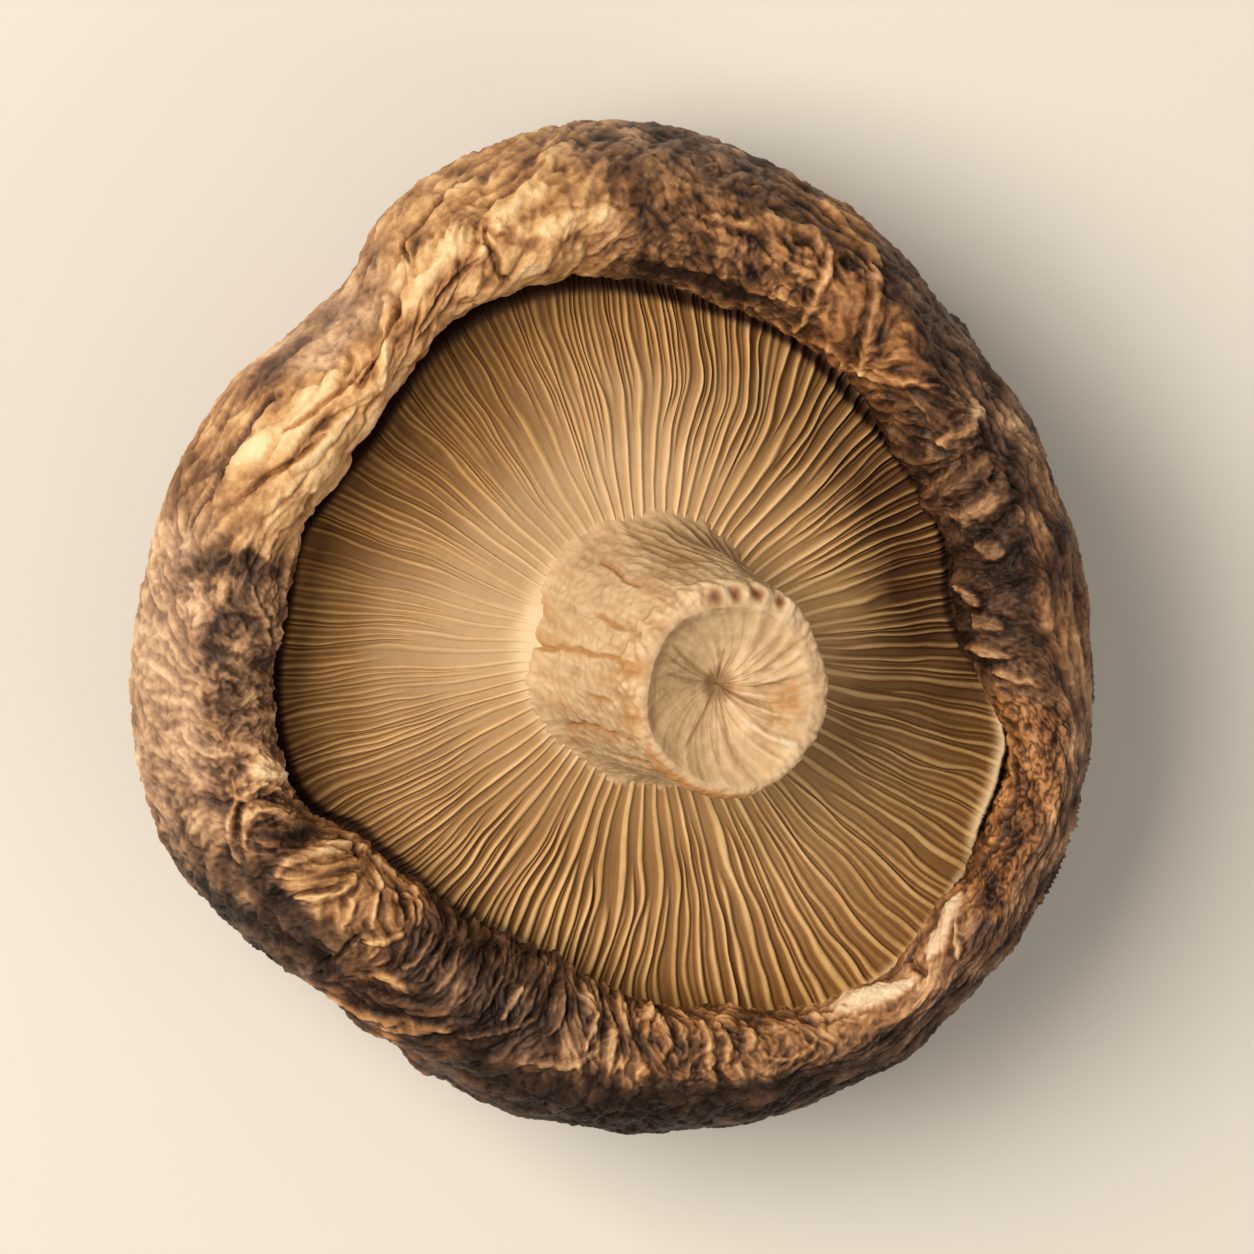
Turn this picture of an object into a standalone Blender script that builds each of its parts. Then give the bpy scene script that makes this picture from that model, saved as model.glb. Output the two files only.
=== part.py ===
# Dried shiitake mushroom, lying on its crown with the gills and the cut stem up.
# Metres, +Z up. The origin is the middle of the small flat spot that it rests on.
# +X and +Y are level, and the stem leans toward +X. Three solids, about 0.3 mm apart:
# the cap with its inrolled rim, the ring of gills and the stem.

import math
import random

import bmesh
import bpy
from mathutils import Vector, noise

MM = 0.001
GAP = 0.3 * MM
SEED = 7

# The cap: a low dome below, its widest line, then a thick rim that rolls in over the gills.
CAP_RADIUS = 24.1 * MM
LIP_RADIUS = 17.9 * MM
REST_RADIUS = 5.0 * MM
WIDEST_HEIGHT = 12.2 * MM
CREST_HEIGHT = 18.6 * MM
LIP_HEIGHT = 15.0 * MM
LIP_FOOT_HEIGHT = 13.6 * MM
RECESS_DEPTH_BEHIND_LIP = 1.6 * MM
RIM_WALL = 2.1 * MM
RECESS_FLOOR = 9.9 * MM

# How the round outlines bend: lobes round the cap, how far each stands out, where it peaks.
OUTLINE_WAVES = ((1, 0.95 * MM, 160), (2, 0.6 * MM, 102), (3, 0.55 * MM, -37), (4, 0.6 * MM, 2))
LIP_WAVES = ((1, 0.65 * MM, 201), (2, 1.3 * MM, -47), (3, 0.8 * MM, -39), (4, 0.45 * MM, 25))
CREST_WAVES = ((1, 0.5 * MM, 120), (3, 0.35 * MM, 15))
DENT_ANGLE = 137
DENT_WIDTH = 9
DENT_DEPTH = 1.1 * MM
TUCK_ANGLE = 224
TUCK_WIDTH = 9
TUCK_DEPTH = 1.2 * MM

# Relief of the skin: folds across the rim and a crown cracked into plates.
FOLD_COUNTS = (17, 29)
FOLD_SHARES = (0.6, 0.4)
FOLD_SLANT = 1.3
FOLD_DEPTH = 0.45 * MM
CREASE_ANGLE = 145
CREASE_WIDTH = 42
CREASE_PLACE = 0.52
CREASE_WANDER = 0.08
CREASE_HALF_WIDTH = 0.1
CREASE_DEPTH = 0.8 * MM
PLATE_SIZE = 9.0 * MM
CRACK_SHARE = 0.3
CRACK_DEPTH = 0.9 * MM
SWELL_DEPTH = 0.35 * MM

# The gills: thin ridges at the rim, half of which run all the way to the stem.
GILL_COUNT = 144
GILL_RING_INNER = 6.8 * MM
GILL_FLOOR_NEAR_STEM = 12.9 * MM
GILL_FLOOR_NEAR_RIM = 11.6 * MM
GILL_RIDGE = 1.0 * MM
GILL_SWAY = 2.0
WEAKEST_GILL = 0.75
SHORT_GILLS_START = 10.0 * MM

# The stem: flared at its foot, leaning, and cut off with a split end.
STEM_FOOT_RADIUS = 6.5 * MM
STEM_TIP_RADIUS = 4.7 * MM
STEM_TIP_HEIGHT = 21.8 * MM
STEM_LEAN_X = 2.9 * MM
STEM_LEAN_Y = -1.2 * MM
STEM_LEAN_CURVE = 1.3
STEM_OVAL = 0.04
STEM_LIP_DROP = 0.7 * MM
SPLIT_COUNT = 9
SPLIT_DEPTH = 0.45 * MM

# The cut end from its lip to its middle: share of the tip's radius, depth below the tip.
CUT_END = ((0.96, 0.2 * MM), (0.84, 0.0), (0.62, 0.4 * MM), (0.32, 0.6 * MM), (0.1, 0.7 * MM))

CAP_STEPS = 120
GILL_STEPS = 2 * GILL_COUNT
STEM_STEPS = 45
CROWN_STATIONS = 22
RIM_STATIONS = 12
FLANK_STATIONS = 8
GILL_RADII = (0.0, 0.1, 0.24, 0.4, 0.58, 0.78, 0.93, 1.0)

CAP_COLOUR = (0.19, 0.105, 0.055, 1.0)
GILL_COLOUR = (0.42, 0.26, 0.12, 1.0)
STEM_COLOUR = (0.62, 0.45, 0.27, 1.0)


def smooth_step(low, high, value):
    share = min(1.0, max(0.0, (value - low) / (high - low)))
    return share * share * (3.0 - 2.0 * share)


def mix(first, second, share):
    return first + (second - first) * share


def waves_at(waves, angle):
    return sum(size * math.cos(lobes * (angle - math.radians(peak))) for lobes, size, peak in waves)


def bump_at(angle, centre_degrees, width_degrees):
    """1 at the centre of a local dent or tuck, falling to 0 on both sides."""
    away = math.degrees(angle) - centre_degrees
    away = (away + 180.0) % 360.0 - 180.0
    return math.exp(-((away / width_degrees) ** 2))


def cap_radius(angle):
    dent = DENT_DEPTH * bump_at(angle, DENT_ANGLE, DENT_WIDTH)
    return CAP_RADIUS + waves_at(OUTLINE_WAVES, angle) - dent


def lip_radius(angle):
    tuck = TUCK_DEPTH * bump_at(angle, TUCK_ANGLE, TUCK_WIDTH)
    return LIP_RADIUS + waves_at(LIP_WAVES, angle) - tuck


def crest_height(angle):
    return CREST_HEIGHT + waves_at(CREST_WAVES, angle)


def recess_radius(angle):
    behind_lip = lip_radius(angle) + RECESS_DEPTH_BEHIND_LIP
    inside_wall = cap_radius(angle) - RIM_WALL
    return min(behind_lip, inside_wall)


def cap_section(angle):
    """The cap's outline at this angle as (radius, height), from the rest spot out, over and in."""
    outer = cap_radius(angle)
    lip = lip_radius(angle)
    recess = recess_radius(angle)
    section = []
    for step in range(CROWN_STATIONS):
        turn = 0.5 * math.pi * step / (CROWN_STATIONS - 1)
        radius = REST_RADIUS + (outer - REST_RADIUS) * math.sin(turn)
        height = WIDEST_HEIGHT * (1.0 - math.cos(turn))
        section.append((radius, height))
    middle = 0.5 * (outer + lip)
    half_width = 0.5 * (outer - lip)
    rise = crest_height(angle) - 0.5 * (WIDEST_HEIGHT + LIP_HEIGHT)
    for step in range(1, RIM_STATIONS + 1):
        share = step / RIM_STATIONS
        radius = middle + half_width * math.cos(math.pi * share)
        height = mix(WIDEST_HEIGHT, LIP_HEIGHT, share) + rise * math.sin(math.pi * share)
        section.append((radius, height))
    section.append((mix(lip, recess, 0.45), LIP_FOOT_HEIGHT))
    section.append((recess, LIP_FOOT_HEIGHT - GAP))
    section.append((recess, RECESS_FLOOR))
    section.append((0.5 * recess, RECESS_FLOOR))
    return section


def gill_section(angle):
    """The gill ring's outline in the upright plane at this angle, without the ridges."""
    outer = recess_radius(angle) - GAP
    bottom = RECESS_FLOOR + GAP
    section = []
    for share in GILL_RADII:
        radius = mix(GILL_RING_INNER, outer, share)
        height = mix(GILL_FLOOR_NEAR_STEM, GILL_FLOOR_NEAR_RIM, smooth_step(0.0, 0.8, share))
        section.append((radius, height))
    section.append((outer, bottom))
    section.append((GILL_RING_INNER, bottom))
    return section


def stem_section(angle):
    """The stem's outline before it leans: foot, flank, round lip and the cut end's hollow."""
    oval = 1.0 + STEM_OVAL * math.cos(2.0 * angle) + 0.5 * STEM_OVAL * math.cos(5.0 * angle)
    section = [(STEM_FOOT_RADIUS, RECESS_FLOOR + GAP)]
    for step in range(FLANK_STATIONS):
        share = step / (FLANK_STATIONS - 1)
        height = mix(GILL_FLOOR_NEAR_STEM, STEM_TIP_HEIGHT - STEM_LIP_DROP, share)
        waist = mix(STEM_FOOT_RADIUS, STEM_TIP_RADIUS, 1.0 - (1.0 - share) ** 2)
        section.append((waist * mix(1.0, oval, share), height))
    for share, drop in CUT_END:
        section.append((share * STEM_TIP_RADIUS * oval, STEM_TIP_HEIGHT - drop))
    return section


def turned_mesh(name, section, steps, is_ring):
    """A section turned round Z with the Screw modifier, its open ends closed by flat faces."""
    points = [(radius, 0.0, height) for radius, height in section]
    edges = [(index, index + 1) for index in range(len(points) - 1)]
    if is_ring:
        edges.append((len(points) - 1, 0))
    mesh = bpy.data.meshes.new(name)
    mesh.from_pydata(points, edges, [])
    guide = bpy.data.objects.new(name + "_section", mesh)
    bpy.context.scene.collection.objects.link(guide)
    screw = guide.modifiers.new("Turn", "SCREW")
    screw.axis = "Z"
    screw.angle = math.tau
    screw.steps = steps
    screw.render_steps = steps
    screw.use_merge_vertices = True
    screw.merge_threshold = 0.000001
    depsgraph = bpy.context.evaluated_depsgraph_get()
    turned = bpy.data.meshes.new_from_object(guide.evaluated_get(depsgraph))
    bpy.data.objects.remove(guide)
    bm = bmesh.new()
    bm.from_mesh(turned)
    bmesh.ops.remove_doubles(bm, verts=bm.verts, dist=0.000001)
    bmesh.ops.holes_fill(bm, edges=bm.edges, sides=0)
    bmesh.ops.recalc_face_normals(bm, faces=bm.faces)
    bm.to_mesh(turned)
    bm.free()
    turned.name = name
    return turned


def station_of(section, point):
    """Which point of the plain turned section a vertex came from."""
    radius = math.hypot(point.x, point.y)
    misses = [(radius - r) ** 2 + (point.z - z) ** 2 for r, z in section]
    return misses.index(min(misses))


def outward(section, station):
    """The section's unit normal at a station, as radius and height."""
    before = section[max(0, station - 1)]
    after = section[min(len(section) - 1, station + 1)]
    along = Vector((after[0] - before[0], after[1] - before[1])).normalized()
    return along.y, -along.x


def crown_relief(point, station):
    """How far the cracks between the crown's plates sink, none on the spot it rests on."""
    nearest = noise.voronoi(point / PLATE_SIZE)[0]
    crack = max(0.0, 1.0 - (nearest[1] - nearest[0]) / CRACK_SHARE)
    swell = noise.noise(point / PLATE_SIZE * 1.7)
    reach = station / CROWN_STATIONS
    fade = smooth_step(0.04, 0.2, reach) * (1.0 - smooth_step(0.85, 1.0, reach))
    return fade * (SWELL_DEPTH * swell - CRACK_DEPTH * crack)


def rim_relief(angle, share):
    """Folds that cross the rim a little askew, and one crease that runs along it."""
    slant = FOLD_SLANT * share
    broad = FOLD_SHARES[0] * math.sin(FOLD_COUNTS[0] * angle + slant)
    narrow = FOLD_SHARES[1] * math.sin(FOLD_COUNTS[1] * angle - 2.0 * slant)
    patch = 0.6 + 0.4 * math.sin(3.0 * angle)
    crossing = FOLD_DEPTH * patch * (broad + narrow) * math.sin(math.pi * share)
    place = CREASE_PLACE + CREASE_WANDER * math.sin(5.0 * angle)
    crease = CREASE_DEPTH * bump_at(angle, CREASE_ANGLE, CREASE_WIDTH)
    crease *= math.exp(-(((share - place) / CREASE_HALF_WIDTH) ** 2))
    return crossing - crease


def shaped_cap_point(section, angle, station):
    radius, height = section[station]
    if station < CROWN_STATIONS:
        point = Vector((radius * math.cos(angle), radius * math.sin(angle), height))
        relief = crown_relief(point, station)
    elif station < CROWN_STATIONS + RIM_STATIONS:
        relief = rim_relief(angle, (station - CROWN_STATIONS + 1) / RIM_STATIONS)
    else:
        relief = 0.0
    across, up = outward(section, station)
    return radius + relief * across, height + relief * up


def gill_ridge(angle, radius, reach, strengths):
    """The ridge's height over the gill floor: full gills everywhere, short ones nearer the rim."""
    place = angle / math.tau * GILL_COUNT
    gill = round(place) % GILL_COUNT
    on_ridge = 1.0 - 2.0 * abs(place - round(place))
    strength = strengths[gill]
    if gill % 2 == 1:
        start = SHORT_GILLS_START * (0.85 + 0.3 * strengths[gill - 1])
        strength *= smooth_step(start, 1.25 * start, radius)
    ends = smooth_step(0.0, 0.06, reach) * 0.4 + 0.6
    ends *= 1.0 - 0.5 * smooth_step(0.9, 1.0, reach)
    return GILL_RIDGE * on_ridge * strength * ends


def make_object(name, mesh, colour, roughness, collection):
    bm = bmesh.new()
    bm.from_mesh(mesh)
    bmesh.ops.triangulate(bm, faces=bm.faces)
    bm.to_mesh(mesh)
    bm.free()
    material = bpy.data.materials.new(name)
    material.use_nodes = True
    shader = material.node_tree.nodes["Principled BSDF"]
    shader.inputs["Base Color"].default_value = colour
    shader.inputs["Roughness"].default_value = roughness
    shader.inputs["Metallic"].default_value = 0.0
    mesh.materials.clear()
    mesh.materials.append(material)
    mesh.shade_smooth()
    made = bpy.data.objects.new(name, mesh)
    collection.objects.link(made)
    return made


def make_cap(collection):
    plain = cap_section(0.0)
    mesh = turned_mesh("cap", plain, CAP_STEPS, is_ring=False)
    for vertex in mesh.vertices:
        angle = math.atan2(vertex.co.y, vertex.co.x)
        station = station_of(plain, vertex.co)
        radius, height = shaped_cap_point(cap_section(angle), angle, station)
        vertex.co = (radius * math.cos(angle), radius * math.sin(angle), height)
    make_object("cap", mesh, CAP_COLOUR, 0.8, collection)


def make_gills(collection):
    draw = random.Random(SEED)
    strengths = [draw.uniform(WEAKEST_GILL, 1.0) for _ in range(GILL_COUNT)]
    plain = gill_section(0.0)
    mesh = turned_mesh("gills", plain, GILL_STEPS, is_ring=True)
    for vertex in mesh.vertices:
        angle = math.atan2(vertex.co.y, vertex.co.x)
        station = station_of(plain, vertex.co)
        radius, height = gill_section(angle)[station]
        bend = 0.0
        if station < len(GILL_RADII):
            reach = GILL_RADII[station]
            height += gill_ridge(angle, radius, reach, strengths)
            sideways = noise.noise(Vector((2.5 * math.cos(angle), 2.5 * math.sin(angle), 2.0 * reach)))
            bend = math.radians(GILL_SWAY) * sideways * math.sin(math.pi * reach)
        turn = angle + bend
        vertex.co = (radius * math.cos(turn), radius * math.sin(turn), height)
    make_object("gills", mesh, GILL_COLOUR, 0.75, collection)


def make_stem(collection):
    plain = stem_section(0.0)
    mesh = turned_mesh("stem", plain, STEM_STEPS, is_ring=False)
    foot = GILL_FLOOR_NEAR_STEM + GAP
    for vertex in mesh.vertices:
        angle = math.atan2(vertex.co.y, vertex.co.x)
        station = station_of(plain, vertex.co)
        radius, height = stem_section(angle)[station]
        climb = max(0.0, height - foot) / (STEM_TIP_HEIGHT - foot)
        if station > FLANK_STATIONS:
            split = max(0.0, math.cos(SPLIT_COUNT * angle)) ** 3
            height -= SPLIT_DEPTH * split * smooth_step(0.15, 0.5, radius / STEM_TIP_RADIUS)
        lean = climb ** STEM_LEAN_CURVE
        x = radius * math.cos(angle) + STEM_LEAN_X * lean
        y = radius * math.sin(angle) + STEM_LEAN_Y * lean
        vertex.co = (x, y, height)
    make_object("stem", mesh, STEM_COLOUR, 0.7, collection)


def main():
    for old in list(bpy.data.objects):
        bpy.data.objects.remove(old)
    collection = bpy.data.collections.new("shiitake_mushroom")
    bpy.context.scene.collection.children.link(collection)
    make_cap(collection)
    make_gills(collection)
    make_stem(collection)


main()
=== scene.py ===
import math

import bpy
import numpy as np
from mathutils import Matrix, Vector


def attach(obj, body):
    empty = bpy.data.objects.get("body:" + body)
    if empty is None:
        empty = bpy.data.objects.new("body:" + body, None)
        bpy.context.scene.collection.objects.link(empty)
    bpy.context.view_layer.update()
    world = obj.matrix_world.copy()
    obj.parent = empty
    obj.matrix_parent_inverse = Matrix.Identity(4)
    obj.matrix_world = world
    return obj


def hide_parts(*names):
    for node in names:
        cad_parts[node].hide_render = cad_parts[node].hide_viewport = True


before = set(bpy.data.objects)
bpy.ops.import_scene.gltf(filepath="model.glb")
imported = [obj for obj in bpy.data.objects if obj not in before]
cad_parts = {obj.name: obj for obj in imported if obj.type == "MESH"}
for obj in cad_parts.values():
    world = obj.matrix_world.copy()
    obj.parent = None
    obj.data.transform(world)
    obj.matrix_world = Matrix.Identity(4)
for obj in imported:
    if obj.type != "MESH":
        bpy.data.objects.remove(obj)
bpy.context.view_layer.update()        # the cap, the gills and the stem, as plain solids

mm = 0.001
print("mushroom: the three solids are in")


# small helpers for shapes, all in millimetres

def smoothStep(low, high, value):
    share = np.clip((value - low) / (high - low), 0.0, 1.0)
    return share * share * (3.0 - 2.0 * share)


def between(first, second, share):
    return first + (second - first) * share


def bumpAt(angle, centre, width):
    away = (np.degrees(angle) - centre + 180.0) % 360.0 - 180.0
    return np.exp(-((away / width) ** 2))


def awayFrom(angle, centre):        # in radians, the short way round
    return (angle - centre + math.pi) % math.tau - math.pi


def wavesAt(waves, angle):
    total = np.zeros_like(angle)
    for count, size, peak in waves:
        total = total + size * np.cos(count * (angle - math.radians(peak)))
    return total


def scramble(x, y, z, seed):
    mixed = (x * 73856093) ^ (y * 19349663) ^ (z * 83492791) ^ (seed * 2654435761)
    mixed = mixed & 0xFFFFFFFF
    mixed = ((mixed ^ (mixed >> 15)) * 2246822519) & 0xFFFFFFFF
    mixed = ((mixed ^ (mixed >> 13)) * 3266489917) & 0xFFFFFFFF
    return mixed ^ (mixed >> 16)


def softNoise(points, seed=0):
    base = np.floor(points).astype(np.int64)
    part = points - base
    fade = part ** 3 * (part * (part * 6.0 - 15.0) + 10.0)
    total = np.zeros(len(points))
    for corner in range(8):
        step = np.array([corner & 1, (corner >> 1) & 1, (corner >> 2) & 1])
        spot = base + step
        mixed = scramble(spot[:, 0], spot[:, 1], spot[:, 2], seed)
        away = part - step
        push = ((mixed & 1023) / 511.5 - 1.0) * away[:, 0]
        push += (((mixed >> 10) & 1023) / 511.5 - 1.0) * away[:, 1]
        push += (((mixed >> 20) & 1023) / 511.5 - 1.0) * away[:, 2]
        weight = np.prod(np.where(step == 1, fade, 1.0 - fade), axis=1)
        total += weight * push
    return np.clip(1.5 * total, -1.0, 1.0)


def layeredNoise(points, layers, seed=0):
    total = np.zeros(len(points))
    for layer in range(layers):
        total += softNoise(points * 2.0 ** layer, seed + layer) * 0.5 ** layer
    return total


def roundPoints(angle, size, along=0.0):        # places for noise that closes up round the piece
    return np.stack([size * np.cos(angle), size * np.sin(angle), along + 0.0 * angle], axis=-1)


def lobes(points, seed=0):          # rounded folds, sharp creases between them
    return np.minimum(1.0, 3.0 * np.abs(softNoise(points, seed))) ** 0.8


def cells(points, seed=0):          # plates on a flat map
    base = np.floor(points).astype(np.int64)
    level = np.zeros(len(points), dtype=np.int64)
    nearest = np.full(len(points), 9.0)
    second = np.full(len(points), 9.0)
    toMiddle = np.zeros((len(points), 2))
    for dx in (-1, 0, 1):
        for dy in (-1, 0, 1):
            x = base[:, 0] + dx
            y = base[:, 1] + dy
            mixed = scramble(x, y, level, seed)
            middle = [x + (mixed & 1023) / 1023.0, y + ((mixed >> 10) & 1023) / 1023.0]
            away = np.stack(middle, axis=1) - points[:, :2]
            length = np.hypot(away[:, 0], away[:, 1])
            closer = length < nearest
            second = np.where(closer, nearest, np.minimum(second, length))
            toMiddle = np.where(closer[:, None], away, toMiddle)
            nearest = np.where(closer, length, nearest)
    return nearest, second, toMiddle


# the outlines that the solids have, worked out again from the same few sizes in mm, with
# small swells of their own

shape = {
    "capRadius": 24.1, "lipRadius": 17.9, "restRadius": 5.0,
    "widestHeight": 12.2, "crestHeight": 18.6, "lipHeight": 15.0, "recessFloor": 9.9,
    "outlineWaves": ((1, 0.95, 160), (2, 0.6, 102), (3, 0.55, -37), (4, 0.6, 2)),
    "lipWaves": ((1, 0.65, 201), (2, 1.3, -47), (3, 0.8, -39), (4, 0.45, 25)),
    "crestWaves": ((1, 0.5, 120), (3, 0.35, 15)),
    # local changes to the outline and to the lip: angle, how far round, mm
    "outlineSwells": ((137, 9, -1.1), (313, 28, 1.25), (229, 13, -0.8), (82, 18, -0.6), (203, 10, 0.4),
                      (144, 6, 0.5), (127, 6, -0.9), (177, 16, -0.4), (2, 12, -0.4), (68, 9, -0.3)),
    "lipSwells": ((222, 9, -1.2), (3, 11, -1.2), (60, 12, 0.6), (139, 11, -0.6), (161, 6, 0.4), (212, 6, -1.0),
                  (242, 18, -0.8), (304, 13, 0.6), (338, 12, 1.2), (347, 6, 0.35)),
    "gillInner": 6.8, "gillNearStem": 12.9, "gillNearRim": 11.6, "gillRidge": 1.0,
    "stemBottom": 13.2, "stemTop": 21.8, "stemLean": (2.9, -1.2),
}
deepest = shape["recessFloor"] + 0.6        # where the hollow under the lip ends in the gills


def swellsAt(swells, angle):
    total = np.zeros_like(angle)
    for where, width, size in swells:
        total = total + size * bumpAt(angle, where, width)
    return total


def capRadius(angle):
    return shape["capRadius"] + wavesAt(shape["outlineWaves"], angle) + swellsAt(shape["outlineSwells"], angle)


def lipRadius(angle):
    return shape["lipRadius"] + wavesAt(shape["lipWaves"], angle) + swellsAt(shape["lipSwells"], angle)


def crestHeight(angle):
    return shape["crestHeight"] + wavesAt(shape["crestWaves"], angle)


def recessRadius(angle):
    return np.minimum(lipRadius(angle) + 1.6, capRadius(angle) - 2.1)


# meshes from grids of points

def gridFaces(rings, columns):
    ring = np.arange(rings - 1)[:, None]
    column = np.arange(columns)[None, :]
    following = (column + 1) % columns
    corners = [
        ring * columns + column, ring * columns + following,
        (ring + 1) * columns + following, (ring + 1) * columns + column,
    ]
    return np.stack([np.broadcast_to(c, (rings - 1, columns)) for c in corners], axis=-1).reshape(-1, 4)


def gridNormals(grid):
    alongRing = np.roll(grid, -1, axis=1) - np.roll(grid, 1, axis=1)
    acrossRings = np.gradient(grid, axis=0)
    normal = np.cross(alongRing, acrossRings)
    length = np.linalg.norm(normal, axis=2, keepdims=True)
    return normal / np.maximum(length, 1e-9)


def gridOf(rings, angle):           # rings are (how far along, radius, height)
    along = np.array([share for share, r, h in rings])
    points = [np.stack([r * np.cos(angle), r * np.sin(angle), h], axis=1) for share, r, h in rings]
    return along, np.array(points)


def meshFromGrid(name, grid, marks, normals=None):
    rings, columns = grid.shape[:2]
    points = grid.reshape(-1, 3) * mm
    faces = gridFaces(rings, columns)
    mesh = bpy.data.meshes.new(name)
    mesh.from_pydata(points.tolist(), [], faces.tolist())
    for mark, values in marks.items():
        layer = mesh.attributes.new(mark, "FLOAT", "POINT")
        layer.data.foreach_set("value", values.reshape(-1).astype(np.float32))
    mesh.shade_smooth()
    if normals is not None:
        mesh.normals_split_custom_set_from_vertices(normals.reshape(-1, 3).tolist())
    piece = bpy.data.objects.new(name, mesh)
    bpy.context.scene.collection.objects.link(piece)
    return piece


def cutPieces(grid, marks, cuts):   # neighbours share the ring between them, and its normals
    normals = gridNormals(grid)
    pieces = []
    for name, first, last in cuts:
        part = slice(first, last + 1)
        pieces.append(meshFromGrid(name, grid[part], {n: v[part] for n, v in marks.items()}, normals[part]))
    return pieces


# worm-like wrinkles on a flat map: the way they run (0 is up the map, a quarter turn is
# along it) and the gap between them in mm may change from place to place

def wrinkleMap(turn, gap, gaps, steps, seed, rounds=3):
    rows, columns = turn.shape
    alongMap = np.fft.rfftfreq(columns, steps[0])[None, :]
    upMap = np.fft.fftfreq(rows, steps[1])[:, None]
    size = np.hypot(alongMap, upMap)
    way = np.arctan2(upMap, alongMap)
    average = np.exp(-((size * 6.0) ** 2))
    place = np.interp(np.log(gap), np.log(gaps), np.arange(len(gaps)))
    ways = 8
    filters = []
    for g, wide in enumerate(gaps):
        ofGap = np.maximum(0.0, 1.0 - np.abs(place - g))
        if ofGap.max() <= 0.0:
            continue
        ring = np.exp(-((np.log(np.maximum(size, 1e-6) * wide) / 0.40) ** 2))
        for w in range(ways):
            middle = w * math.pi / ways
            off = (way - middle + 0.5 * math.pi) % math.pi - 0.5 * math.pi
            mapOff = (-turn - middle + 0.5 * math.pi) % math.pi - 0.5 * math.pi
            share = ofGap * np.maximum(0.0, 1.0 - np.abs(mapOff) * ways / math.pi)
            filters.append((share, ring * np.exp(-((off / 0.66) ** 2))))
    field = np.random.default_rng(seed).normal(size=turn.shape)
    for step in range(rounds):
        spectrum = np.fft.rfft2(field)
        total = np.zeros_like(turn)
        for share, keep in filters:
            total += share * np.fft.irfft2(spectrum * keep, s=turn.shape)
        strength = np.fft.irfft2(np.fft.rfft2(total ** 2) * average, s=turn.shape)
        field = np.tanh(1.3 * total / np.sqrt(np.maximum(strength, 1e-9)))
    return 0.5 + 0.5 * field        # 0 in a valley, 1 on a ridge


# the cap: a cracked crown below, a wrinkled rim that rolls in over the gills

cap = {
    # counts of columns and rings, then sizes in mm
    "columns": 1440, "crownRings": 130, "wallRings": 60, "foldRings": 66, "lipRings": 18, "recessRings": 4,
    "plateSize": 8.0, "plateSwell": 0.45, "crackWidth": 0.13, "plateWrinkles": 0.22,
    "bigLumps": 0.40, "smallLumps": 0.26, "lipWobble": 0.30, "fineGrain": 0.02,
    # the flat maps of the skin, in mm: their step, half the crown's, the rim's lowest row,
    # height and radius, and how long the skin is over the crown, the rim and the lip
    "mapStep": 0.1, "crownHalf": 37.0, "lowestWall": -15.0, "wallHeight": 24.0, "mapRadius": 21.0,
    "crownArc": 28.3, "overArc": 13.0, "lipArc": 11.6,
    # the flat spot's share of the crown's rings, the lip's radius and how far it curls, degrees
    "flatShare": 0.12, "lipRound": 0.95, "lipTurn": 140.0,
}

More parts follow.
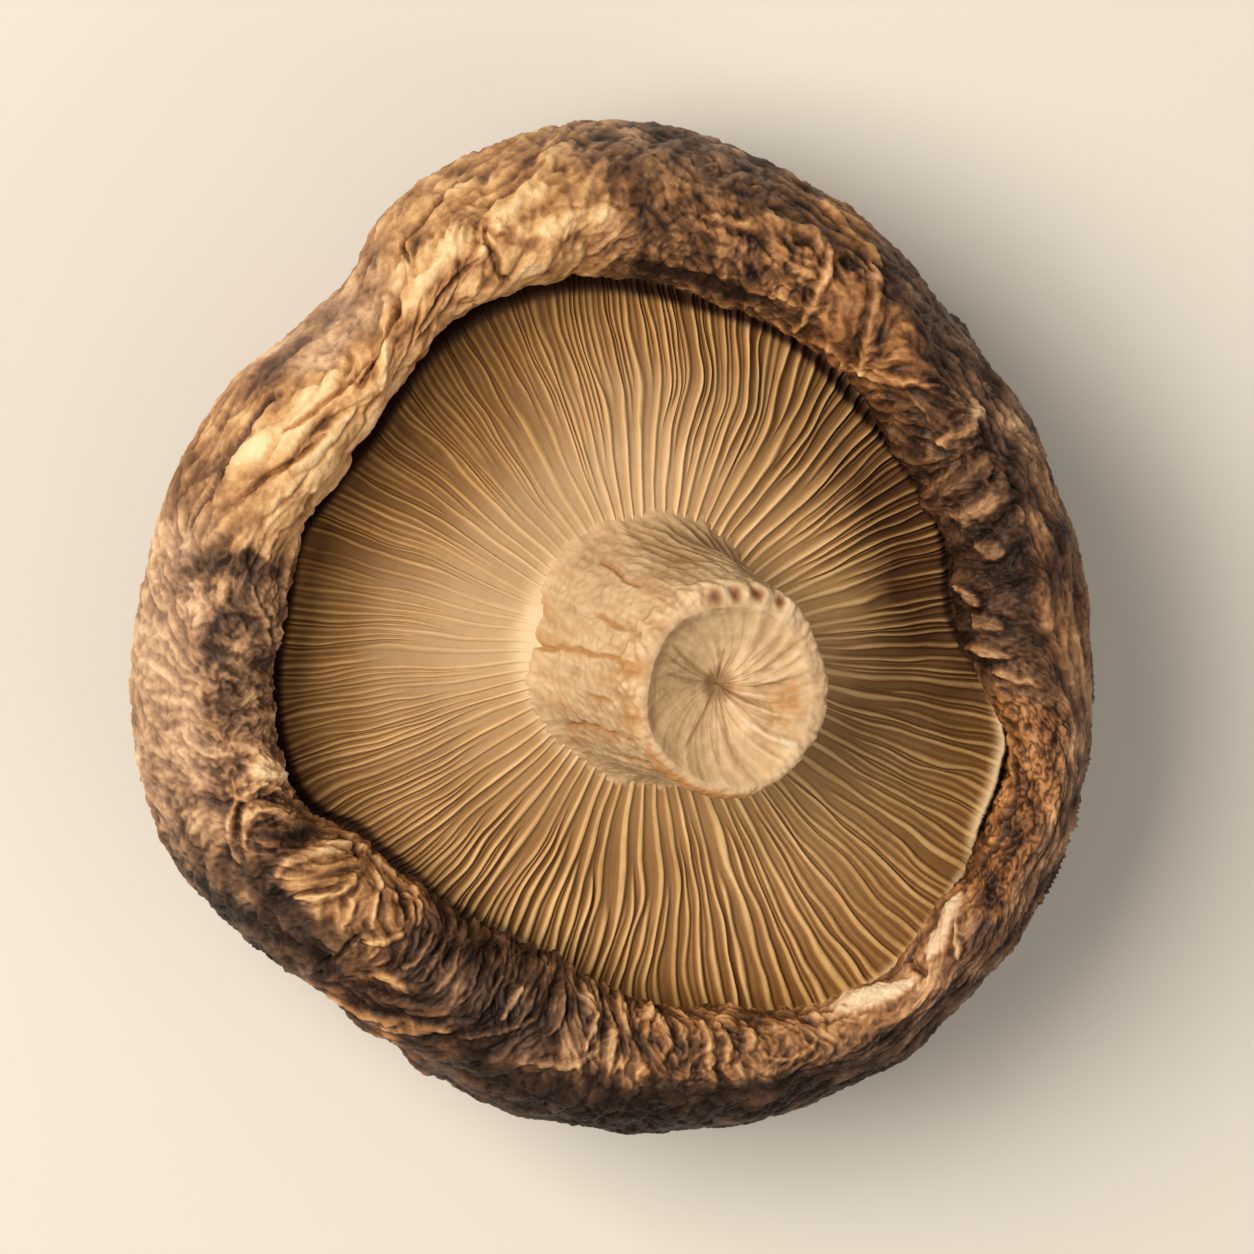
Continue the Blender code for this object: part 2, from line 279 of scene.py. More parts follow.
# the rim's skin, first on its inner fold, then on its outer wall. Each row: degrees round the
# rim, the way the wrinkles run (0 across the rim, 90 along it), the gap between them and
# their height in mm, how dark their valleys and how pale their ridges, their form (1 plump
# lobes with thin creases, 0 waves, -1 thin ridges), how orange, how grey, how much is grit
skinColumns = ("angle", "turn", "gap", "high", "dark", "pale", "form", "warm", "grey", "grit")
foldSkin = (
    (0.8, 0, 0.8, 0.24, 0.02, 0.27, -0.3, 0.35, 0.30, 0.4),
    (13.5, -10, 0.8, 0.24, 0.00, 0.15, -0.4, 0.25, 0.40, 0.4),
    (28.2, -20, 0.9, 0.24, 0.08, 0.42, -0.3, 0.30, 0.35, 0.3),
    (41, 40, 0.8, 0.24, 0.06, 0.36, -0.3, 0.50, 0.15, 0.1),
    (51.2, 55, 1.4, 0.24, 0.20, 0.55, 0.5, 0.75, 0.0, 0.0),
    (60.3, -50, 1.4, 0.22, 0.20, 0.46, 0.5, 0.9, 0.0, 0.0),
    (69.2, -70, 0.6, 0.20, 0.16, 0.60, 0.0, 0.65, 0.0, 0.6),
    (81.2, -30, 0.6, 0.17, 0.15, 0.54, -0.3, 0.50, 0.10, 0.6),
    (93, 20, 0.6, 0.16, 0.10, 0.41, -0.3, 0.40, 0.20, 0.6),
    (99.8, 35, 1.6, 0.30, 0.48, 0.79, 0.7, 0.30, 0.0, 0.0),
    (126, 55, 2.0, 0.33, 0.47, 0.79, 0.9, 0.55, 0.0, 0.0),
    (141.5, 66, 1.9, 0.33, 0.51, 0.84, 0.9, 0.50, 0.0, 0.0),
    (150.5, 98, 1.8, 0.31, 0.58, 0.88, 0.9, 0.30, 0.0, 0.0),
    (161.5, 100, 1.4, 0.30, 0.48, 0.75, 0.7, 0.25, 0.05, 0.1),
    (166.3, 80, 0.8, 0.26, 0.14, 0.57, -0.4, 0.15, 0.40, 0.3),
    (178.2, 20, 0.6, 0.20, 0.14, 0.53, -0.2, 0.10, 0.50, 0.6),
    (190.8, 8, 0.7, 0.22, 0.42, 0.82, -0.3, 0.25, 0.40, 0.35),
    (201.5, 15, 0.8, 0.24, 0.14, 0.68, -0.4, 0.35, 0.10, 0.3),
    (205.2, 30, 0.8, 0.20, 0.05, 0.40, -0.4, 0.20, 0.20, 0.2),
    (209.2, 40, 0.9, 0.20, 0.46, 0.76, 0.3, 0.40, 0.0, 0.0),
    (217, -40, 0.9, 0.22, 0.38, 0.71, 0.3, 0.40, 0.0, 0.0),
    (224, -55, 0.9, 0.22, 0.30, 0.62, 0.0, 0.45, 0.0, 0.0),
    (228, -15, 1.0, 0.34, 0.05, 0.32, 0.45, 0.15, 0.55, 0.0),
    (245.5, 10, 1.1, 0.36, 0.04, 0.33, 0.5, 0.10, 0.60, 0.0),
    (259.2, 0, 1.0, 0.34, 0.10, 0.58, 0.4, 0.25, 0.40, 0.0),
    (266.8, -5, 0.9, 0.28, 0.12, 0.72, -0.5, 0.55, 0.05, 0.1),
    (290.2, -20, 0.8, 0.24, 0.20, 0.68, -0.4, 0.50, 0.10, 0.3),
    (297.5, 60, 0.8, 0.14, 0.40, 0.66, 0.4, 0.75, 0.25, 0.2),
    (318, 60, 0.8, 0.14, 0.38, 0.68, 0.4, 0.80, 0.4, 0.2),
    (324.2, 30, 0.4, 0.16, 0.16, 0.48, -0.2, 0.90, 0.0, 1.0),
    (350, -20, 0.4, 0.16, 0.24, 0.62, -0.2, 0.90, 0.0, 1.0),
    (354.2, 0, 0.9, 0.22, 0.12, 0.50, -0.3, 0.35, 0.30, 0.3),
)
wallSkin = (
    (0.2, 88, 0.6, 0.18, 0.26, 0.56, -0.5, 0.60, 0.10, 0.15),
    (16.8, 88, 0.6, 0.18, 0.24, 0.56, -0.5, 0.50, 0.25, 0.15),
    (31.5, 82, 0.6, 0.18, 0.22, 0.56, -0.5, 0.20, 0.60, 0.15),
    (46.8, 78, 0.6, 0.14, 0.11, 0.39, -0.4, 0.10, 0.60, 0.2),
    (57.7, 84, 0.7, 0.16, 0.12, 0.40, -0.4, 0.30, 0.35, 0.2),
    (63.8, 105, 0.9, 0.20, 0.22, 0.64, -0.1, 0.70, 0.0, 0.0),
    (71.8, 100, 0.8, 0.18, 0.15, 0.55, -0.2, 0.55, 0.10, 0.2),
    (79.8, 40, 0.6, 0.14, 0.14, 0.47, -0.2, 0.20, 0.45, 0.7),
    (96.2, 30, 0.6, 0.13, 0.22, 0.55, -0.1, 0.20, 0.50, 0.7),
    (101.2, 50, 1.5, 0.26, 0.42, 0.76, 0.6, 0.35, 0.0, 0.0),
    (121.2, 60, 1.5, 0.24, 0.40, 0.74, 0.6, 0.30, 0.0, 0.1),
    (130, 75, 0.7, 0.12, 0.52, 0.68, 0.0, 0.05, 0.70, 0.6),
    (140.5, 82, 0.7, 0.12, 0.52, 0.69, 0.0, 0.10, 0.60, 0.6),
    (146, 98, 0.8, 0.14, 0.43, 0.73, 0.2, 0.30, 0.05, 0.2),
    (159.5, 98, 0.7, 0.13, 0.44, 0.71, 0.1, 0.25, 0.15, 0.3),
    (165.2, 40, 0.6, 0.20, 0.40, 0.75, -0.3, 0.05, 0.75, 0.35),
    (178.5, 20, 0.6, 0.17, 0.55, 0.86, -0.3, 0.05, 0.75, 0.35),
    (196, 20, 0.6, 0.17, 0.40, 0.73, -0.3, 0.10, 0.70, 0.35),
    (203, -30, 0.7, 0.17, 0.14, 0.58, -0.4, 0.20, 0.40, 0.4),
    (210.8, -50, 0.6, 0.20, 0.12, 0.30, -0.5, 0.05, 0.70, 0.3),
    (221.5, -60, 0.7, 0.20, 0.06, 0.42, -0.5, 0.20, 0.30, 0.2),
    (226.8, 75, 0.9, 0.20, 0.10, 0.60, -0.5, 0.65, 0.0, 0.1),
    (240, 65, 0.9, 0.20, 0.04, 0.50, -0.5, 0.60, 0.05, 0.1),
    (246, 50, 0.9, 0.20, 0.00, 0.17, -0.4, 0.25, 0.2, 0.55),
    (265.8, 30, 0.8, 0.18, 0.00, 0.14, -0.3, 0.25, 0.2, 0.6),
    (283.2, 40, 0.7, 0.15, 0.0, 0.09, -0.2, 0.10, 0.3, 0.6),
    (296.8, 80, 0.6, 0.18, 0.08, 0.34, -0.5, 0.20, 0.50, 0.2),
    (319, 90, 0.6, 0.18, 0.18, 0.49, -0.5, 0.20, 0.40, 0.15),
    (349.8, 92, 0.6, 0.18, 0.32, 0.61, -0.5, 0.20, 0.55, 0.15),
)
# where the inner fold starts: degrees round the rim, mm along the skin from the crest
foldStart = (
    (0, 0.0), (30, -0.3), (60, -1.2), (90, -1.9), (125, -2.3), (150, -3.2), (165, -2.2), (185, -0.9),
    (215, -0.7), (245, -1.0), (270, -0.4), (290, 0.5), (297, 1.2), (312, 1.4), (330, 0.8), (350, 0.2),
)

# single wrinkles that stand out. Each row: three places on it, as degrees round the rim and
# share of the way in from the outline to the lip, then half its width and its height in mm
# (a groove is below 0), how pale, how orange
singleWrinkles = (
    # lobes like rope at the right
    (4, 0.76, 4.8, 0.85, 5.5, 0.93, 0.45, 0.28, 0.62, 0.35),
    (7.8, 0.88, 9.5, 0.94, 10.5, 0.98, 0.42, 0.26, 0.66, 0.4),
    (16, 0.71, 16.8, 0.78, 17.8, 0.85, 0.55, 0.38, 0.64, 0.5),
    (26.5, 0.48, 23, 0.69, 23.5, 0.90, 0.80, 0.44, 0.50, 0.4),
    (30.8, 0.50, 28.8, 0.69, 28.8, 0.91, 0.7, 0.38, 0.34, 0.2),
    (37.2, 0.31, 34.5, 0.48, 36.8, 0.74, 0.55, 0.40, 0.68, 0.35),
    (354.8, 0.66, 355.8, 0.79, 356.5, 0.92, 0.42, 0.30, 0.62, 0.3),
    (359, 0.77, 360, 0.88, 359.8, 0.98, 0.42, 0.30, 0.64, 0.3),
    # orange strands at the upper right
    (43.8, 0.51, 49.8, 0.88, 56.2, 0.94, 0.3, 0.28, 0.62, 0.8),
    (46, 0.60, 49, 0.77, 53, 0.84, 0.22, 0.22, 0.58, 0.8),
    (53, 0.91, 57.2, 0.69, 60.5, 0.24, 0.38, 0.34, 0.72, 0.6),
    (66.5, 0.96, 65.8, 0.62, 67, 0.33, 0.26, 0.28, 0.72, 0.5),
    (67.2, 0.35, 72.2, 0.26, 80, 0.46, 0.36, 0.28, 0.62, 0.6),
    (59.3, 0.20, 64.2, 0.13, 69.2, 0.03, 0.36, 0.28, 0.68, 0.7),
    (54.8, 0.97, 60, 0.82, 63, 0.97, 0.3, 0.24, 0.6, 0.8),
    (72.2, 0.50, 77.8, 0.38, 85, 0.50, 0.28, 0.22, 0.56, 0.6),
    (62.2, 0.32, 64, 0.33, 65.5, 0.35, 0.35, -0.3, 0.06, 0.2),
    # a dark groove along the lip: painted shade under it
    (67.5, 0.87, 80.8, 0.93, 92.8, 0.90, 0.80, -0.28, 0.02, 0.2),
    # long thin lines on the outside at the upper right
    (22, 0.10, 33, 0.06, 44, 0.10, 0.14, 0.22, 0.52, 0.1),
    (18, 0.19, 31, 0.15, 42, 0.21, 0.13, 0.20, 0.50, 0.1),
    (30, 0.25, 37, 0.20, 46, 0.27, 0.13, 0.20, 0.46, 0.1),
    (48, 0.06, 57, 0.02, 66, 0.02, 0.14, 0.22, 0.52, 0.3),
    (352, 0.15, 364, 0.10, 376, 0.14, 0.14, 0.20, 0.50, 0.3),
    (320, 0.16, 334, 0.12, 348, 0.17, 0.13, 0.20, 0.50, 0.2),
    (312, 0.27, 326, 0.22, 338, 0.29, 0.13, 0.20, 0.48, 0.2),
    # pale folds at the upper left
    (99, 0.07, 104.5, 0.26, 110.5, 0.38, 0.75, 0.26, 0.86, 0.2),
    (113.8, 0.32, 119.5, 0.34, 125.5, 0.38, 0.95, 0.24, 0.84, 0.2),
    (127, 0.18, 131.8, 0.55, 135.8, 0.68, 0.42, 0.26, 0.84, 0.3),
    (138.8, 0.31, 146, 0.39, 155.5, 0.18, 1.0, 0.26, 0.88, 0.1),
    (136.2, 0.56, 142.5, 0.74, 150.5, 0.56, 0.65, 0.22, 0.85, 0.2),
    (97, 0.51, 103.8, 0.60, 110.2, 0.43, 0.65, 0.22, 0.84, 0.3),
    (102.5, 0.14, 106.8, 0.23, 110.5, 0.20, 0.22, -0.34, 0.34, 0.9),
    (112, 0.03, 116.7, 0.10, 122, 0.11, 0.17, -0.45, 0.2, 0.8),
    (120.5, 0.09, 121.8, 0.13, 122, 0.22, 0.15, -0.35, 0.26, 0.9),
    (126.5, 0.28, 130.8, 0.45, 136.8, 0.48, 0.18, -0.42, 0.3, 0.9),
    (144.5, 0.13, 151.8, 0.18, 163.5, 0.10, 0.17, -0.48, 0.16, 0.6),
    (134.2, 0.41, 141.5, 0.46, 148.8, 0.33, 0.17, -0.36, 0.38, 1),
    (145.2, 0.60, 153.2, 0.46, 159, 0.26, 0.17, -0.34, 0.38, 1),
    (112.2, 0.35, 114.2, 0.59, 112, 0.81, 0.2, -0.34, 0.28, 0.8),
    (115, 0.54, 120.8, 0.61, 127.2, 0.65, 0.18, -0.34, 0.36, 1),
    (149, 0.03, 154.8, 0.04, 161.8, 0.01, 0.16, -0.3, 0.42, 0.8),
    # left side
    (164.5, 0.48, 165.8, 0.62, 165.8, 0.84, 0.5, -0.15, 0.20, 0.1),
    (168, 0.62, 171.5, 0.71, 176.5, 0.81, 0.2, 0.24, 0.66, 0.1),
    (193.3, 0.68, 195.0, 0.80, 195.8, 0.92, 0.75, 0.46, 0.84, 0.3),
    (203.2, 0.45, 196.5, 0.52, 201.0, 0.80, 0.20, 0.26, 0.76, 0.4),
    (204.0, 0.34, 192.5, 0.42, 198.2, 0.90, 0.22, 0.28, 0.78, 0.3),
    (203.6, 0.40, 194.5, 0.47, 199.6, 0.86, 0.12, -0.30, 0.20, 0.2),
    # a dark groove along the lip: painted shade under it
    (172, 0.965, 183, 0.975, 192, 0.95, 0.50, -0.15, 0.08, 0.1),
    (204.8, 0.65, 205, 0.76, 205.2, 0.87, 0.4, -0.30, 0.10, 0.1),
    (207.8, 0.48, 206, 0.68, 210, 0.87, 0.30, 0.24, 0.74, 0.3),
    (195.8, 0.50, 198.5, 0.66, 200.8, 0.85, 0.2, 0.22, 0.68, 0.5),
    # fan at the lower left
    (211.5, 0.43, 214.5, 0.54, 214.5, 0.78, 0.24, 0.22, 0.80, 0.2),
    (208.5, 0.86, 212.8, 0.99, 219.2, 0.97, 0.24, 0.22, 0.80, 0.2),
    (213.5, 0.94, 218, 0.91, 221.2, 0.56, 0.22, 0.24, 0.82, 0.2),
    (222.2, 0.97, 225, 0.90, 226.5, 0.77, 0.22, 0.26, 0.76, 0.3),
    (222.2, 0.46, 224.8, 0.54, 225.2, 0.67, 0.20, 0.22, 0.74, 0.3),
    (215.8, 0.66, 217.5, 0.60, 219, 0.45, 0.18, 0.24, 0.78, 0.4),
    # dark notches at the fan's lip: painted shade
    (220.3, 0.94, 222.2, 0.87, 224.2, 0.75, 0.26, -0.4, 0.08, 0.3),
    (208.5, 0.95, 210.8, 0.97, 211.8, 0.90, 0.28, -0.55, 0.05, 0.1),
    (222, 0.13, 221.8, 0.29, 220.8, 0.50, 0.15, -0.4, 0.1, 0.5),
    # dark rope with pale tops below
    (229.2, 0.49, 229.8, 0.62, 229.2, 0.78, 0.17, 0.26, 0.60, 0.1),
    (232, 0.50, 232.2, 0.65, 231.8, 0.81, 0.15, 0.24, 0.50, 0.1),
    (234.8, 0.49, 235, 0.64, 234.2, 0.80, 0.15, 0.24, 0.46, 0.2),
    (238.8, 0.46, 239.3, 0.64, 238.8, 0.79, 0.15, 0.24, 0.44, 0.1),
    (242.2, 0.49, 243, 0.64, 242.8, 0.78, 0.15, 0.24, 0.52, 0.1),
    (245.2, 0.54, 246, 0.66, 246.5, 0.76, 0.17, 0.28, 0.74, 0.1),
    (248, 0.59, 248.8, 0.71, 249, 0.80, 0.15, 0.24, 0.54, 0.1),
    (258.5, 0.57, 259.2, 0.68, 259.8, 0.83, 0.18, 0.28, 0.76, 0),
    (253, 0.57, 254, 0.69, 254.2, 0.83, 0.18, 0.3, 0.52, 0.1),
    (250, 0.36, 256.8, 0.40, 260.8, 0.61, 0.18, 0.3, 0.52, 0.1),
    (241.2, 0.34, 246, 0.46, 250.2, 0.65, 0.18, 0.28, 0.48, 0.1),
    (226.2, 0.04, 230.8, 0.09, 235.8, 0.22, 0.28, 0.28, 0.7, 0.6),
    (234.2, 0.06, 236.5, 0.25, 239.8, 0.33, 0.26, 0.28, 0.68, 0.6),
    (226.5, 0.29, 228.5, 0.39, 231.8, 0.38, 0.26, 0.26, 0.66, 0.6),
    # tan ticks below
    (268, 0.78, 268.8, 0.88, 269.5, 0.98, 0.24, 0.3, 0.7, 0.5),
    (270.5, 0.66, 271, 0.78, 270.5, 0.91, 0.24, 0.3, 0.74, 0.5),
    (276.8, 0.62, 277.2, 0.77, 277, 0.91, 0.26, 0.34, 0.78, 0.5),
    (279.5, 0.67, 279.8, 0.79, 279.5, 0.91, 0.22, 0.28, 0.68, 0.6),
    (282.8, 0.73, 283.5, 0.81, 283.2, 0.91, 0.24, 0.28, 0.7, 0.6),
    (285.5, 0.68, 289.8, 0.57, 292.2, 0.76, 0.2, 0.26, 0.66, 0.4),
    (291.5, 0.92, 294.5, 0.87, 297.8, 0.93, 0.3, 0.26, 0.74, 0.4),
    # cream lobe at the lower right
    (297.5, 0.97, 302.8, 0.91, 307.0, 0.87, 1.1, 0.3, 0.98, 0.1),
    (311.8, 0.87, 315, 0.90, 320.2, 0.96, 0.95, 0.3, 0.98, 0.1),
    (309.4, 0.78, 309.8, 0.88, 309.3, 0.99, 0.16, -0.36, 0.4, 0.7),
    (314.2, 0.66, 316, 0.75, 318, 0.87, 0.2, 0.28, 0.92, 0.2),
    # dark grooves between the cream lobes and above the step in the gills: painted shade
    (303.8, 0.995, 309, 0.965, 313.2, 0.995, 0.20, -0.35, 0.08, 0.3),
    (326.5, 0.94, 334, 0.90, 343, 0.95, 0.32, -0.22, 0.12, 0.3),
)


def aroundRim(rows, angle, column):     # a table's value at each angle, back to its first row
    spots = [row[0] for row in rows] + [rows[0][0] + 360]
    values = [row[column] for row in rows] + [rows[0][column]]
    return np.interp(np.degrees(angle) % 360.0, spots, values)


def wayOver(p):         # mm along the skin from the crest of the rim, more toward the lip
    over = (p - 1.5) * cap["overArc"]
    under = -0.5 * cap["overArc"] - (1.0 - p) * cap["crownArc"]
    lip = 0.5 * cap["overArc"] + (p - 2.0) * cap["lipArc"]
    return np.where(p < 1.0, under, np.where(p > 2.0, lip, over))


def capRings(angle):    # 0 to 1 up the crown, to 2 over the rim, to 2.2 round the lip
    outer = capRadius(angle)
    lip = lipRadius(angle)
    recess = recessRadius(angle)
    rest, flat, lipRound = shape["restRadius"], cap["flatShare"], cap["lipRound"]
    rings = []

    def addRing(share, radius, height):
        rings.append((share, radius + 0.0 * angle, height + 0.0 * angle))

    for ring in range(cap["crownRings"]):
        share = ring / cap["crownRings"]
        if share < flat:
            addRing(share, rest * (0.002 + 0.998 * share / flat), 0.0)
        else:
            turn = 0.5 * math.pi * (share - flat) / (1.0 - flat)
            radius = rest + (outer - rest) * math.sin(turn)
            addRing(share, radius, shape["widestHeight"] * (1.0 - math.cos(turn)))
    middle = 0.5 * (outer + lip)
    half = 0.5 * (outer - lip)
    rise = crestHeight(angle) - 0.5 * (shape["widestHeight"] + shape["lipHeight"])
    overRings = cap["wallRings"] + cap["foldRings"]
    for ring in range(overRings + 1):
        share = ring / overRings
        height = between(shape["widestHeight"], shape["lipHeight"], share) + rise * math.sin(math.pi * share)
        addRing(1.0 + share, middle + half * math.cos(math.pi * share), height)
    for ring in range(1, cap["lipRings"] + 1):
        turn = math.radians(cap["lipTurn"]) * ring / cap["lipRings"]
        height = shape["lipHeight"] - lipRound * math.sin(turn)
        addRing(2.0 + 0.2 * ring / cap["lipRings"], lip + lipRound * (1.0 - math.cos(turn)), height)
    for ring in range(1, cap["recessRings"] + 1):
        share = ring / cap["recessRings"]
        addRing(2.2 + 0.1 * share, np.maximum(recess, lip + 1.6), between(14.2, deepest, share))
    addRing(2.4, 0.6 * recess, deepest)
    return rings


def crownMap():         # the crown's skin spread out flat: height, tone, orange, grey
    step = cap["mapStep"]
    line = np.arange(-cap["crownHalf"], cap["crownHalf"], step)
    x, y = np.meshgrid(line, line)
    points = np.stack([x.ravel(), y.ravel(), 0.0 * x.ravel()], axis=1)
    wobble = np.stack([layeredNoise(points / 3.0, 2, seed) for seed in (11, 12, 13)], axis=1)
    nearest, second, toMiddle = cells((points + 1.3 * wobble) / cap["plateSize"], 5)
    gap = second - nearest
    wide = cap["crackWidth"]
    band = 1.0 - smoothStep(0.65 * wide, 1.25 * wide, gap)
    crease = np.exp(-(((gap - 1.3 * wide) / 0.035) ** 2))
    swell = smoothStep(wide, 0.55, gap)
    turn = np.arctan2(toMiddle[:, 0], toMiddle[:, 1]) + 1.6 * softNoise(points / 3.5, 24)
    turn = turn.reshape(x.shape)
    spacing = (0.9 + 0.35 * softNoise(points / 6.0, 25)).reshape(x.shape)
    folds = wrinkleMap(turn, spacing, (0.6, 0.85, 1.2), (step, step), 21).ravel()
    fine = wrinkleMap(turn + 0.5, 0.5 * spacing, (0.4, 0.6), (step, step), 22).ravel()
    nearest, second = cells((points + 0.9 * wobble) / 3.1, 9)[:2]
    isSplit = smoothStep(0.30, 0.5, layeredNoise(points / 5.0, 2, 23) * 0.5 + 0.5)
    smallBand = (1.0 - smoothStep(0.06, 0.16, second - nearest)) * isSplit * (1.0 - band)
    fromMiddle = np.hypot(x, y).ravel()
    height = cap["plateSwell"] * (1.0 - 0.6 * smoothStep(25.0, 30.0, fromMiddle)) * swell
    height = height + 0.12 * band - 0.42 * crease
    height += cap["plateWrinkles"] * (folds ** 0.7 - 0.6 + 0.3 * fine) * (1.0 - 0.75 * band) + 0.08 * smallBand
    ridge = 0.7 * folds + 0.3 * fine
    # the valleys of the wrinkles and the creases beside the cracks are darker: partly the skin's own colour, partly
    # painted shade
    tone = between(0.07, 0.46, ridge ** 2.0) + 0.08 * (1.0 - swell)
    tone = between(tone, between(0.42, 0.74, ridge), band) - 0.25 * crease + 0.22 * smallBand
    tone += 0.10 * layeredNoise(points / 2.4, 3, 31)
    warm = 0.30 + 0.40 * band + 0.3 * smallBand + 0.25 * softNoise(points / 5.0, 32)
    grey = 0.55 * (1.0 - band)
    return [values.reshape(x.shape) for values in (height, tone, warm, grey)]


def layWrinkles(height, tone, warm, grey, around, way, points):
    drift = 0.24 * layeredNoise(points / 1.6, 3, 55)
    sway = 0.24 * layeredNoise(points / 1.6, 3, 58)
    rough = 1.0 + 0.45 * softNoise(points / 1.1, 57) + 0.40 * softNoise(points / 0.45, 59)
    drift, sway, rough = [values.reshape(around.shape) for values in (drift, sway, rough)]
    columns = around.shape[1]
    degreesEach = 360.0 / columns
    mmEach = cap["mapRadius"] * math.radians(1.0)
    for *path, wide, high, pale, orange in singleWrinkles:
        inward = 1.0 + np.arccos(1.0 - 2.0 * np.array(path[1::2])) / math.pi
        places = np.stack([np.array(path[0::2]) * mmEach, wayOver(inward)], axis=1)
        margin = 1.5 + 3.0 * wide
        left, lowest = places.min(axis=0) - margin
        right, highest = places.max(axis=0) + margin
        picked = np.arange(math.floor(left / mmEach / degreesEach), math.ceil(right / mmEach / degreesEach))
        rowsHit = np.where((way[:, 0] > lowest) & (way[:, 0] < highest))[0]
        window = np.ix_(rowsHit, picked % columns)
        u = (picked * degreesEach * mmEach)[None, :] + drift[window]
        v = way[window] + sway[window]
        nearest = np.full(u.shape, 99.0)
        at = np.zeros(u.shape)
        for t in np.linspace(0.0, 1.0, 40):
            a, w = (1 - t) ** 2 * places[0] + 2 * t * (1 - t) * places[1] + t * t * places[2]
            away = np.hypot(u - a, v - w)
            at = np.where(away < nearest, t, at)
            nearest = np.minimum(nearest, away)
        taper = 0.45 + 0.55 * np.sqrt(np.clip(4.0 * at * (1.0 - at), 0.0, 1.0))
        reach = nearest / (wide * taper * rough[window])
        body = np.exp(-1.2 * reach ** 2.4)
        beside = np.exp(-(((reach - 1.7) / 0.40) ** 2)) if high > 0 else 0.0
        height[window] += high * body * taper - 0.20 * abs(high) * beside
        cover = smoothStep(0.05, 0.75, body)
        own = pale + 0.14 * (body - 0.7) + 0.55 * (tone[window] - tone[window].mean())
        # the groove beside a raised wrinkle is painted darker, as shade
        tone[window] = between(tone[window], own, 0.78 * cover) - 0.09 * beside
        warm[window] = between(warm[window], orange, 0.7 * cover)
        if pale > 0.95:         # the cream lobes are greyer than the brown ones
            grey[window] = between(grey[window], 0.75, 0.8 * cover)


